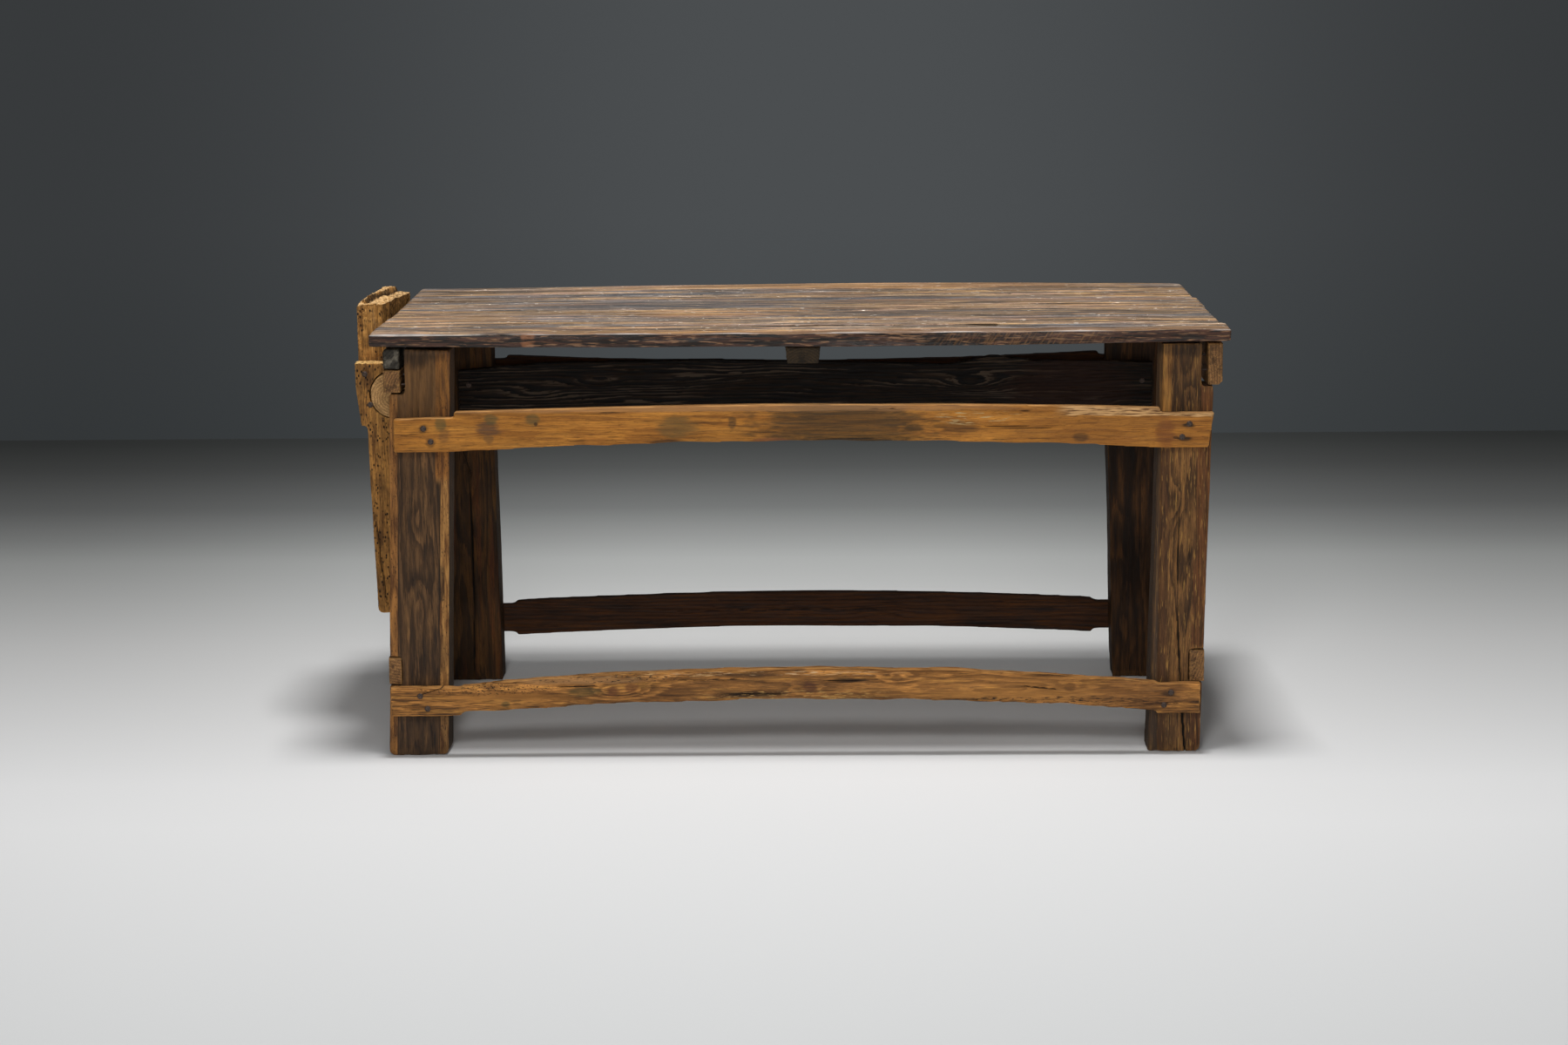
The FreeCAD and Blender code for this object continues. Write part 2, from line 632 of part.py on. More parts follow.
# Front right leg: narrower, leaning the same way.
flr = leg_right
lean = s.front_right_leg_lean
right_wall = right_rail_in - s.right_notch_gap
inner_right = leg_right - s.front_right_leg_width
front_right = sawn("front_right_leg_body", "XZ_Plane",
    [(inner_right - lean, zero), (flr - lean - s.foot_chamfer, zero),
     (leg_side(flr, lean, s.foot_chamfer), s.foot_chamfer),
     (leg_side(flr, lean, s.right_low_end_rail_bottom), s.right_low_end_rail_bottom),
     (right_low_in, s.right_low_end_rail_bottom), (right_low_in, right_low_top),
     (leg_side(flr, lean, right_low_top), right_low_top),
     (leg_side(flr, lean, right_rail_low), right_rail_low),
     (right_wall, right_rail_low), (right_wall, under_top),
     (inner_right, under_top)],
    s.front_leg_depth, (shift, front_face, zero))
bored("front_right_leg", front_right,
      [front_upper_holes, front_lower_holes, right_upper_holes, right_low_holes])

# Back legs: their outer sides touch the end rails' inner sides.
knee = under_top - s.back_leg_knee_drop
bl_in = left_rail_in + s.back_left_leg_width
back_left = sawn("back_left_leg_body", "XZ_Plane",
    [(left_low_in, zero), (bl_in + s.back_left_leg_inner_drop, zero), (bl_in, knee),
     (bl_in, under_top), (left_rail_in, under_top), (left_rail_in, knee),
     (left_low_in, left_low_top)],
    s.back_leg_depth, (shift, back_leg_front, zero))
bored("back_left_leg", back_left,
      [back_upper_holes, back_lower_holes, left_upper_holes, left_low_holes, board_holes])

br_in = right_rail_in - s.back_right_leg_width
back_right = sawn("back_right_leg_body", "XZ_Plane",
    [(br_in + s.back_right_leg_inner_drop, zero), (right_low_in, zero),
     (right_low_in, right_low_top), (right_rail_in, knee),
     (right_rail_in, under_top), (br_in, under_top), (br_in, knee)],
    s.back_leg_depth, (shift, back_leg_front, zero))
bored("back_right_leg", back_right,
      [back_upper_holes, back_lower_holes, right_upper_holes, right_low_holes, board_holes])

# Vise: a jaw board and two arms turn together about the fulcrum bar. Their
# hollows follow the bar's round at one clearance.
hollow = s.bar_radius + s.bearing_clearance
jaw_out = left_end - s.jaw_gap - s.jaw_thickness
jaw_in = left_end - s.jaw_gap + s.jaw_skew          # inner face at the jaw's back end
jaw_reach = bar_x - jaw_in


def on_round(dx):
    """Height of the hollow's edge above the bar's axis, dx to one side."""
    return root(hollow * hollow - dx * dx)


arm_nail_rows = []
for dx, z in ((s.arm_nail_inset, bar_z + s.arm_nail_rise),
              (s.arm_nail_inset + s.arm_cheek_taper, bar_z - s.arm_nail_drop + s.arm_waist_step)):
    arm_nail_rows.append((jaw_out + dx + shift, z))
front_arm_holes = nails("vise_front_arm_nails",
                        [(x, bar_front, z, "-y") for x, z in arm_nail_rows], s.arm_nail_length)
rear_arm_holes = nails("vise_rear_arm_nails",
                       [(x, bar_front + bar_length, z, "+y") for x, z in arm_nail_rows],
                       s.arm_nail_length)

upper_mid = -jaw_reach - (hollow - jaw_reach) / 2
jaw = sawn("vise_jaw_body", "XZ_Plane",
           [(jaw_out + s.arm_cheek_taper, bar_z - s.jaw_tongue), (bar_x - hollow, bar_z - s.jaw_tongue),
            (bar_x - hollow, bar_z),
            (True, bar_x + upper_mid, bar_z + on_round(upper_mid)),
            (jaw_in, bar_z + on_round(jaw_reach)), (jaw_in, s.bench_height + s.jaw_rise),
            (jaw_out, s.bench_height + s.jaw_rise),
            (jaw_out, bar_z + s.arm_cheek_drop)],
           jaw_width, (shift, jaw_low_y, zero))
ease(jaw, "Fillet", s.jaw_edge_radius,
     lambda m, e: abs(m.z - (s.bench_height + s.jaw_rise).value) < s.seat_gap.value
     and abs(m.x - jaw_out.value) < s.seat_gap.value)

# The board has warped: its back end has come in towards the top's end.
outer_warp = sawn("jaw_outer_warp", "XY_Plane",
                  [(jaw_out, jaw_low_y), (jaw_out + s.jaw_skew, jaw_high_y + s.overrun),
                   (jaw_out - s.overrun, jaw_high_y + s.overrun),
                   (jaw_out - s.overrun, jaw_low_y)],
                  s.jaw_thickness + s.jaw_rise + s.arm_above,
                  (shift, zero, bar_z + s.arm_above))
inner_warp = sawn("jaw_inner_warp", "XY_Plane",
                  [(jaw_in - s.jaw_skew, jaw_low_y - s.overrun),
                   (jaw_in + s.overrun, jaw_low_y - s.overrun), (jaw_in + s.overrun, jaw_high_y),
                   (jaw_in, jaw_high_y)],
                  s.bench_height - bar_z + s.jaw_rise + s.overrun, (shift, zero, bar_z))
bored("vise_jaw", jaw, [front_arm_holes, rear_arm_holes, outer_warp, inner_warp])

tail_z = bar_z - s.arm_tail_drop
waist_z = bar_z - s.arm_waist_drop
heel_dx = s.arm_heel
bottom_r = s.arm_tail_radius
for label, low_y, holes in (
        ("vise_front_arm", bar_front, front_arm_holes),
        ("vise_rear_arm", jaw_high_y, rear_arm_holes)):
    arm = sawn(label + "_body", "XZ_Plane",
               [(jaw_out, bar_z + s.arm_above), (jaw_out, bar_z + s.arm_cheek_drop),
                (jaw_out + s.arm_cheek_taper, waist_z),
                (jaw_out + s.arm_cheek_taper + s.arm_waist_step, waist_z),
                (bar_x - s.arm_tail_out, tail_z + bottom_r),
                (True, bar_x - s.arm_tail_out + bottom_r * (1 - half),
                 tail_z + bottom_r * (1 - half)),
                (bar_x - s.arm_tail_out + bottom_r, tail_z),
                (bar_x - s.arm_tail_in, tail_z),
                (bar_x + heel_dx, waist_z - s.arm_heel),
                (bar_x + heel_dx, bar_z - on_round(heel_dx)),
                (True, bar_x - hollow, bar_z),
                (bar_x + s.arm_lip, bar_z + on_round(s.arm_lip)),
                (bar_x + s.arm_lip, bar_z + s.arm_above)],
               s.arm_thickness, (shift, low_y, zero))
    bored(label, arm, [holes])

doc.recompute()

for thing in doc.Objects:
    if "Invalid" in thing.State or "Error" in thing.State:
        raise RuntimeError("%s failed: %s" % (thing.Name, thing.State))
for node in nodes:
    shape = node.Shape
    if shape.isNull() or not shape.isValid() or not shape.Solids:
        raise RuntimeError(node.Label + " has no valid solid")

os.makedirs("parts", exist_ok=True)
for node in nodes:
    node.Shape.exportStep("parts/%s.step" % node.Label)
    box = node.Shape.BoundBox
    print("%-28s %d solid  x %.1f..%.1f  y %.1f..%.1f  z %.1f..%.1f  vol %.0f"
          % (node.Label, len(node.Shape.Solids), box.XMin, box.XMax, box.YMin, box.YMax,
             box.ZMin, box.ZMax, node.Shape.Volume))
print(len(nodes), "nodes")
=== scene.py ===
import math

import bmesh
import bpy
import numpy as np
from mathutils import Matrix, Vector


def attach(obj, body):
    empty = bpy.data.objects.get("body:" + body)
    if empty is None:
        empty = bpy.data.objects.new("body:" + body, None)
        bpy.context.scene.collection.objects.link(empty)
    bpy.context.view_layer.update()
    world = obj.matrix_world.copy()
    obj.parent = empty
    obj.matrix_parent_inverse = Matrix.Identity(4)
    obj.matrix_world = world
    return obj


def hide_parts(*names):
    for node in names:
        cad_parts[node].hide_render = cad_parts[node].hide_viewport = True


# An old joiner's bench: weathered plank top, four hewn legs, nailed rails, and
# a lever vise at the left end. Lengths are in metres, in the bench's own frame:
# X to the right, Y to the back, Z up from the floor.
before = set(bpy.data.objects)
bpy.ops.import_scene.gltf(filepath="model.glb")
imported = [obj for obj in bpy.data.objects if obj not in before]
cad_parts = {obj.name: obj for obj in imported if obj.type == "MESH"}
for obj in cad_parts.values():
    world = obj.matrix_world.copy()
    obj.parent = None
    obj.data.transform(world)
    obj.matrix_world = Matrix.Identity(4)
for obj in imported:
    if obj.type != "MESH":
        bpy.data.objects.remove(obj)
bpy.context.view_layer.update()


# ---------------------------------------------------------------- the view
# The bench is seen from in front at standing height, a little from above,
# through a 70 mm lens 5.8 m away, with the camera turned very slightly.
scene = bpy.context.scene
scene.view_settings.view_transform = "Standard"

yaw, pitch, roll = (math.radians(a) for a in (0.85, 10.83, -0.51))
ahead = Vector((-math.sin(yaw) * math.cos(pitch), math.cos(yaw) * math.cos(pitch),
                -math.sin(pitch)))
level = Vector((math.cos(yaw), math.sin(yaw), 0))
upright = level.cross(ahead)
side = math.cos(roll) * level + math.sin(roll) * upright
upward = math.cos(roll) * upright - math.sin(roll) * level
lens = bpy.data.cameras.new("standing_view")
lens.lens = 70
lens.sensor_width = 36
lens.clip_end = 60
camera = bpy.data.objects.new("standing_view", lens)
camera.matrix_world = Matrix((side, upward, -ahead)).transposed().to_4x4()
camera.location = (0.0845, -5.848, 1.497)
scene.collection.objects.link(camera)
scene.camera = camera


# --------------------------------------------------------------- the studio
# A concrete floor, its colour painted pale in front and darker towards the back
# and the sides as painted light fall-off, and a dark wall painted darker towards
# its sides the same way, under a soft lamp overhead, another in front, a weak
# low fill and some room light.
def linear(code):
    """An sRGB hex colour as the linear values that a shader takes."""
    parts = [int(code[i:i + 2], 16) / 255 for i in (1, 3, 5)]
    return (*(c / 12.92 if c <= 0.04045 else ((c + 0.055) / 1.055) ** 2.4 for c in parts), 1.0)


MATH, VECTOR, MIX = "ShaderNodeMath", "ShaderNodeVectorMath", "ShaderNodeMix"
NOISE, RANGE = "ShaderNodeTexNoise", "ShaderNodeMapRange"


def add(tree, kind, *values, links=None, out=0, **settings):
    """Adds a node, sets it, and feeds its inputs in order or by name with
    sockets or plain values. Gives back the output asked for."""
    node = tree.nodes.new(kind)
    for key, value in settings.items():
        setattr(node, key, value)
    given = dict(enumerate(values))
    given.update(links or {})
    for key, value in given.items():
        if isinstance(key, str):
            socket = next(s for s in node.inputs if s.name == key and s.enabled)
        else:
            socket = node.inputs[key]
        if isinstance(value, bpy.types.NodeSocket):
            tree.links.new(value, socket)
        elif value is not None:
            socket.default_value = value
    if isinstance(out, str):
        return next(s for s in node.outputs if s.name == out and s.enabled)
    return node.outputs[out] if len(node.outputs) else None


def fresh_material(name):
    material = bpy.data.materials.new(name)
    material.use_nodes = True
    material.node_tree.nodes.clear()
    return material, material.node_tree


floor_painted_falloff, tree = fresh_material("concrete_floor_painted_falloff")
spot = add(tree, "ShaderNodeTexCoord", out="Object")
depth = add(tree, "ShaderNodeSeparateXYZ", spot, out="Y")
# painted light fall-off: pale in front with a brighter band near the bench, darker towards the wall
shade = add(tree, "ShaderNodeValToRGB", add(tree, RANGE, depth, -3.6, 3.4), out="Color")
ramp = shade.node.color_ramp
for place, code in ((0.25, "#d3d4d4"), (0.44, "#eeeeee"), (0.6, "#e6e6e5"), (0.73, "#d4d6d4"),
                    (0.83, "#989a99"), (0.92, "#757776"), (0.99, "#606362")):
    stop = ramp.elements.new(place)
    stop.color = linear(code)
ramp.elements.remove(ramp.elements[0])
ramp.elements.remove(ramp.elements[-1])
# painted light fall-off: darker towards the sides, more so further back
sideways = add(tree, MATH, add(tree, "ShaderNodeSeparateXYZ", spot, out="X"),
               operation="ABSOLUTE")
sideways = add(tree, MATH, sideways, add(tree, MATH, depth, 5.9, operation="ADD"),
               operation="DIVIDE")
fall = add(tree, RANGE, sideways, 0.03, 0.25, 1.0, 0.55, interpolation_type="SMOOTHSTEP")
far = add(tree, RANGE, depth, -0.8, 1.8)
painted_side_falloff = add(tree, MIX, far, links={2: 1.0, 3: fall}, data_type="FLOAT")
shade = add(tree, VECTOR, shade, painted_side_falloff, operation="MULTIPLY")
skin = add(tree, "ShaderNodeBsdfPrincipled", links={
    "Base Color": shade, "Roughness": 0.8, "Specular IOR Level": 0.05}, out="BSDF")
add(tree, "ShaderNodeOutputMaterial", skin)
ground = bpy.data.meshes.new("studio_floor")
ground.from_pydata([(-14, -14, 0), (14, -14, 0), (14, 3.4, 0), (-14, 3.4, 0)], [], [(0, 1, 2, 3)])
ground.materials.append(floor_painted_falloff)
floor = bpy.data.objects.new("studio_floor", ground)
scene.collection.objects.link(floor)

room = bpy.data.worlds.new("studio_room")
room.use_nodes = True
tree = room.node_tree
tree.nodes.clear()
ray = add(tree, "ShaderNodeSeparateXYZ", add(tree, "ShaderNodeTexCoord", out="Generated")).node
height = add(tree, RANGE, ray.outputs["Z"], -0.165, -0.09)
# painted light fall-off: the wall the camera sees is darker towards its sides
wide = add(tree, RANGE, add(tree, MATH, ray.outputs["X"], operation="ABSOLUTE"), 0.02, 0.25,
           1.0, 0.56, interpolation_type="SMOOTHSTEP")
wall = add(tree, MIX, height, links={6: linear("#44484a"), 7: linear("#4b4e50")},
           data_type="RGBA", out=2)
wall = add(tree, VECTOR, wall, wide, operation="MULTIPLY")
seen = add(tree, "ShaderNodeLightPath", out="Is Camera Ray")
light = add(tree, MIX, seen, links={6: (0.07, 0.07, 0.071, 1), 7: wall}, data_type="RGBA", out=2)
add(tree, "ShaderNodeOutputWorld", add(tree, "ShaderNodeBackground", light, 1.0))
scene.world = room

for name, place, aim, width, watts in (
        ("overhead_softbox", (0.1, -0.55, 5.4), (0.0, 0.0, 0.4), 1.0, 200),
        ("front_softbox", (-0.4, -4.9, 3.3), (0.0, 0.0, 0.4), 0.8, 70),
        ("low_front_fill", (0.3, -6.6, 1.7), (0.0, 0.0, 0.4), 2.4, 115)):
    lamp = bpy.data.lights.new(name, "AREA")
    lamp.shape = "SQUARE"
    lamp.size = width
    lamp.energy = watts
    holder = bpy.data.objects.new(name, lamp)
    holder.location = place
    holder.rotation_euler = (Vector(aim) - Vector(place)).to_track_quat("-Z", "Y").to_euler()
    scene.collection.objects.link(holder)


# -------------------------------------------------------------------- the top
# Four planks of weathered hardwood, laid side by side on the frame. Years of
# use have greyed them, raised the grain and worn the front arris round.
def in_grain(tree, spot, grain):
    """The place with its first value along the grain, the second across the
    face that shows most, and the third into the timber."""
    parts = add(tree, "ShaderNodeSeparateXYZ", spot).node
    return add(tree, "ShaderNodeCombineXYZ", *(parts.outputs["xyz".index(c)] for c in grain))


def stretched(tree, spot, along, across, seed, detail=2.0, out="Fac", rough=0.5):
    """Noise drawn out along the grain. The sizes are in metres."""
    moved = add(tree, VECTOR, spot, (1 / along, 1 / across, 1 / across), (seed, seed * 1.7, 3.1),
                operation="MULTIPLY_ADD")
    return add(tree, NOISE, moved, links={"Scale": 1.0, "Detail": detail, "Roughness": rough},
               out=out)


def growth(tree, spot, pith, ring, warp=0.012, reach=0.35, knots=(), seed=0.0, slope=(0, 0)):
    """How dark the growth ring is, from 0 to 1: rings round a pith line that
    wanders, pushed aside by each knot (place along and across, size, lift)."""
    wander = add(tree, VECTOR, stretched(tree, spot, reach, reach / 7, seed, 1.5, "Color"),
                 (0.5, 0.5, 0.5), operation="SUBTRACT")
    wander = add(tree, VECTOR, wander, (0, warp * 2, warp * 2), spot, operation="MULTIPLY_ADD")
    run = add(tree, "ShaderNodeSeparateXYZ", spot, out="X")
    lean = add(tree, "ShaderNodeCombineXYZ", 0.0,
               *(add(tree, MATH, run, rise, start, operation="MULTIPLY_ADD")
                 for rise, start in zip(slope, pith)))
    ray = add(tree, VECTOR, add(tree, VECTOR, wander, lean, operation="SUBTRACT"), (0, 1, 1),
              operation="MULTIPLY")
    radius = add(tree, VECTOR, ray, operation="LENGTH", out="Value")
    for along, across, size, lift in knots:
        off = add(tree, VECTOR, spot, (along, across, 0), operation="SUBTRACT")
        off = add(tree, VECTOR, off, (0.3 / size, 1 / size, 0), operation="MULTIPLY")
        near = add(tree, MATH, add(tree, VECTOR, off, off, operation="DOT_PRODUCT", out="Value"),
                   -1.0, operation="MULTIPLY")
        near = add(tree, MATH, near, operation="EXPONENT")
        radius = add(tree, MATH, near, lift, radius, operation="MULTIPLY_ADD")
    torn = stretched(tree, spot, 0.06, 0.004, seed + 5, 2.0)
    count = add(tree, MATH, radius, 1 / ring, add(tree, MATH, torn, 0.9, operation="MULTIPLY"),
                operation="MULTIPLY_ADD")
    part = add(tree, MATH, count, operation="FRACT")
    rise = add(tree, RANGE, part, 0.15, 0.82, interpolation_type="SMOOTHSTEP")
    fall = add(tree, RANGE, part, 1.0, 0.9, interpolation_type="SMOOTHSTEP")
    return add(tree, MATH, rise, fall, operation="MULTIPLY")


def opening(tree, spot, along0, along1, across, width, seed, slope=0.0, wander=0.004):
    """1 inside a drying split that runs with the grain, 0 outside it."""
    parts = add(tree, "ShaderNodeSeparateXYZ", spot).node
    run, off = parts.outputs[0], parts.outputs[1]
    middle, half = (along0 + along1) / 2, abs(along1 - along0) / 2
    wave = stretched(tree, add(tree, "ShaderNodeCombineXYZ", run, 0.0, 0.0), 0.05, 1.0, seed, 2.5)
    line = add(tree, MATH, wave, wander * 2, across - wander, operation="MULTIPLY_ADD")
    line = add(tree, MATH, add(tree, MATH, run, middle, operation="SUBTRACT"), slope, line,
               operation="MULTIPLY_ADD")
    gap = add(tree, MATH, add(tree, MATH, off, line, operation="SUBTRACT"), operation="ABSOLUTE")
    far = add(tree, MATH, add(tree, MATH, run, middle, operation="SUBTRACT"), 1 / half,
              operation="MULTIPLY")
    taper = add(tree, MATH, 1.0, add(tree, MATH, far, far, operation="MULTIPLY"),
                operation="SUBTRACT")
    taper = add(tree, MATH, taper, 0.0, operation="MAXIMUM")
    lip = add(tree, MATH, add(tree, MATH, taper, 0.5, operation="POWER"), width,
              operation="MULTIPLY")
    inside = add(tree, MATH, lip, gap, operation="SUBTRACT")
    return add(tree, RANGE, inside, 0.0, 0.0007)


def reached(tree, spot, facing, limit, wobble, soft, seed, reach=0.12):
    """1 beyond a wavy boundary. Facing is a direction in the grain's order."""
    value = add(tree, VECTOR, spot, facing, operation="DOT_PRODUCT", out="Value")
    wave = stretched(tree, spot, reach, reach / 3, seed, 2.5)
    value = add(tree, MATH, wave, wobble * 2, value, operation="MULTIPLY_ADD")
    return add(tree, RANGE, value, limit + wobble - soft, limit + wobble + soft,
               interpolation_type="SMOOTHSTEP")


def blot(tree, spot, centre, size, seed, ragged=0.7, soft=0.35):
    """1 inside a ragged patch round a place, 0 outside. None means any depth."""
    reach = [0 if s is None else 1 / s for s in size]
    off = add(tree, VECTOR, add(tree, VECTOR, spot, tuple(c or 0 for c in centre),
                                operation="SUBTRACT"), reach, operation="MULTIPLY")
    far = add(tree, VECTOR, off, operation="LENGTH", out="Value")
    far = add(tree, MATH, stretched(tree, spot, 0.03, 0.008, seed, 3.0), ragged * 2, far,
              operation="MULTIPLY_ADD")
    return add(tree, RANGE, far, 1 + ragged + soft, 1 + ragged - soft,
               interpolation_type="SMOOTHSTEP")


def worm_holes(tree, spot, share=0.5):
    """1 inside small round holes, crowded in some places, absent in others."""
    moved = add(tree, VECTOR, spot, (105, 165, 165), operation="MULTIPLY")
    cell = add(tree, "ShaderNodeTexVoronoi", moved, links={"Scale": 1.0}, out="Distance")
    hole = add(tree, RANGE, cell, 0.36, 0.2)
    crowd = add(tree, RANGE, stretched(tree, spot, 0.06, 0.03, 71.0, 3.0), share - 0.04,
                share + 0.08)
    return add(tree, MATH, hole, crowd, operation="MULTIPLY")


def aged(name, grain, rings, splits=(), ridge=0.0006, thread=0.0035, hollow=0.0012,
         hollow_along=0.25, hollow_across=0.03, wear=0.8, chips=0.0, split_depth=0.006, seed=1.0,
         blur=1, worms=0.0):
    """The tree that ages one timber: arrises worn in places, chips, ridges
    along the growth rings, hollows, splits and worm holes. Everything moves
    inwards. It leaves 'worn', 'deep' and 'up' for the material."""
    tree = bpy.data.node_groups.new("ageing_of_" + name, "GeometryNodeTree")
    face = tree.interface
    face.new_socket("Timber", in_out="INPUT", socket_type="NodeSocketGeometry")
    for label, value in (("Ridge depth", ridge), ("Hollow depth", hollow), ("Arris wear", wear),
                         ("Chip share", chips), ("Split depth", split_depth),
                         ("Worm depth", worms)):
        face.new_socket(label, in_out="INPUT", socket_type="NodeSocketFloat").default_value = value
    face.new_socket("Skin", in_out="INPUT", socket_type="NodeSocketMaterial")
    face.new_socket("Timber", in_out="OUTPUT", socket_type="NodeSocketGeometry")
    given = tree.nodes.new("NodeGroupInput").outputs
    place = add(tree, "GeometryNodeInputPosition")
    normal = add(tree, "GeometryNodeInputNormal")
    spot = in_grain(tree, place, grain)
    # arrises: the blurred place is inside every outer corner
    soft = add(tree, "GeometryNodeBlurAttribute", links={"Value": place, "Iterations": blur},
               data_type="FLOAT_VECTOR", out="Value")
    softer = add(tree, "GeometryNodeBlurAttribute", links={"Value": place, "Iterations": blur + 5},
                 data_type="FLOAT_VECTOR", out="Value")
    patch = add(tree, RANGE, stretched(tree, spot, 0.07, 0.03, seed, 3.0), 0.32, 0.62,
                links={"To Min": 0.35, "To Max": 1.0})
    held = add(tree, MATH, patch, given["Arris wear"], operation="MULTIPLY")
    moved = add(tree, MIX, held, links={4: place, 5: soft}, data_type="VECTOR", out=1)
    bite = add(tree, RANGE, stretched(tree, spot, 0.035, 0.02, seed + 9, 3.0),
               add(tree, MATH, 0.72, given["Chip share"], operation="SUBTRACT"),
               add(tree, MATH, 0.78, given["Chip share"], operation="SUBTRACT"))
    moved = add(tree, MIX, bite, links={4: moved, 5: softer}, data_type="VECTOR", out=1)
    inward = add(tree, VECTOR, add(tree, VECTOR, place, soft, operation="SUBTRACT"), normal,
                 operation="DOT_PRODUCT", out="Value")
    worn = add(tree, RANGE, inward, 0.0001, 0.0005)
    # ridges, threads and hollows
    late = growth(tree, spot, **rings)
    low = add(tree, MATH, add(tree, MATH, 1.0, late, operation="SUBTRACT"),
              add(tree, MATH, stretched(tree, spot, 0.09, thread, seed + 2, 2.0), 1.3,
                  operation="MULTIPLY"), operation="ADD")
    depth = add(tree, MATH, low, given["Ridge depth"], operation="MULTIPLY")
    dip = add(tree, RANGE, stretched(tree, spot, hollow_along, hollow_across, seed + 3, 2.0),
              0.35, 0.75)
    depth = add(tree, MATH, dip, given["Hollow depth"], depth, operation="MULTIPLY_ADD")
    gap = None
    for i, row in enumerate(splits):
        one = opening(tree, spot, *row[:4], seed=seed + 20 + i, **(row[4] if len(row) > 4 else {}))
        gap = one if gap is None else add(tree, MATH, gap, one, operation="MAXIMUM")
    if gap is not None:
        depth = add(tree, MATH, gap, given["Split depth"], depth, operation="MULTIPLY_ADD")
    if worms:
        eaten = worm_holes(tree, spot)
        depth = add(tree, MATH, eaten, given["Worm depth"], depth, operation="MULTIPLY_ADD")
        crumbs = stretched(tree, spot, 0.006, 0.0035, seed + 8, 2.0)
        depth = add(tree, MATH, crumbs, add(tree, MATH, given["Worm depth"], 0.8,
                    operation="MULTIPLY"), depth, operation="MULTIPLY_ADD")
    shift = add(tree, VECTOR, normal, links={"Scale": add(tree, MATH, depth, -1.0,
                operation="MULTIPLY")}, operation="SCALE")
    body = add(tree, "GeometryNodeStoreNamedAttribute", given["Timber"], links={
        "Name": "worn", "Value": worn}, data_type="FLOAT", domain="POINT")
    body = add(tree, "GeometryNodeStoreNamedAttribute", body, links={
        "Name": "deep", "Value": gap if gap is not None else 0.0}, data_type="FLOAT",
        domain="POINT")
    body = add(tree, "GeometryNodeStoreNamedAttribute", body, links={
        "Name": "up", "Value": add(tree, "ShaderNodeSeparateXYZ", normal, out="Z")},
        data_type="FLOAT", domain="POINT")
    body = add(tree, "GeometryNodeSetPosition", body, links={"Position": add(
        tree, VECTOR, moved, shift, operation="ADD")})
    body = add(tree, "GeometryNodeRealizeInstances", body)
    body = add(tree, "GeometryNodeSetMaterial", body, links={"Material": given["Skin"]})
    tree.links.new(body, tree.nodes.new("NodeGroupOutput").inputs[0])
    return tree


def hewn(node, grain, skin, tree, body="bench", grit=0.0022, stretch=3.0, shape=None):
    """A weathered timber in place of a solid: the solid's copy gets an even
    skin of small faces, longer along the grain, then its shape and its age."""
    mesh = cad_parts[node].data.copy()
    mesh.materials.clear()
    soup = bmesh.new()
    soup.from_mesh(mesh)
    bmesh.ops.remove_doubles(soup, verts=soup.verts, dist=1e-6)
    soup.to_mesh(mesh)
    soup.free()
    squeeze = [1.0, 1.0, 1.0, 1.0]
    squeeze["xyz".index(grain[0])] = 1 / stretch
    mesh.transform(Matrix.Diagonal(squeeze))
    piece = bpy.data.objects.new("weathered_" + node, mesh)
    scene.collection.objects.link(piece)
    even = piece.modifiers.new("even_skin", "REMESH")
    even.mode = "VOXEL"
    even.voxel_size = grit * 1.0
    even.use_smooth_shade = True
    seen = piece.evaluated_get(bpy.context.evaluated_depsgraph_get())
    mesh = bpy.data.meshes.new_from_object(seen)
    piece.modifiers.clear()
    mesh.transform(Matrix.Diagonal(squeeze).inverted())
    if shape:
        spots = np.zeros(len(mesh.vertices) * 3, np.float32)
        mesh.vertices.foreach_get("co", spots)
        spots = spots.reshape(-1, 3).astype(float)
        shape(spots)
        mesh.vertices.foreach_set("co", spots.astype(np.float32).ravel())
        mesh.update()
    piece.data = mesh
    age = piece.modifiers.new("ageing", "NODES")
    age.node_group = tree
    socket = next(i for i in tree.interface.items_tree
                  if i.name == "Skin" and i.in_out == "INPUT")
    age[socket.identifier] = skin
    seen = piece.evaluated_get(bpy.context.evaluated_depsgraph_get())
    mesh = bpy.data.meshes.new_from_object(seen)
    piece.modifiers.clear()
    piece.data = mesh
    mesh.name = piece.name
    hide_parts(node)
    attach(piece, body)
    return piece


def mixed(tree, share, first, second):
    """A colour between two. Each is a hex value or a socket."""
    first, second = (linear(c) if isinstance(c, str) else c for c in (first, second))
    return add(tree, MIX, share, links={6: first, 7: second}, data_type="RGBA", out=2)


def times(tree, colour, share, low, high):
    """The colour darkened or lightened by a share between two factors."""
    factor = add(tree, RANGE, share, 0.0, 1.0, low, high)
    return add(tree, VECTOR, colour, factor, operation="MULTIPLY")


def painted(tree, spot, colour, rows):
    """Stains that follow the fibres: each row has a middle, a size, a colour,
    a share and a seed."""
    soak = add(tree, RANGE, stretched(tree, spot, 0.07, 0.0028, 27.0, 3.0, rough=0.65), 0.38,
               0.62, 1.0, 0.7)
    for centre, size, code, share, seed in rows:
        patch = blot(tree, spot, (*centre, None), (*size, None), seed)
        patch = add(tree, MATH, patch, soak, operation="MULTIPLY")
        colour = mixed(tree, add(tree, MATH, patch, share, operation="MULTIPLY"), colour, code)
    return colour


def flecked(tree, spot, colour, rows):
    """Short pale or dark flecks within a patch. The last pair is their size."""
    for centre, size, code, seed, (along, across) in rows:
        near = blot(tree, spot, (*centre, None), (*size, None), seed)
        fleck = add(tree, RANGE, stretched(tree, spot, along, across, seed, 3.0), 0.56, 0.62)
        colour = mixed(tree, add(tree, MATH, near, fleck, operation="MULTIPLY"), colour, code)
    return colour


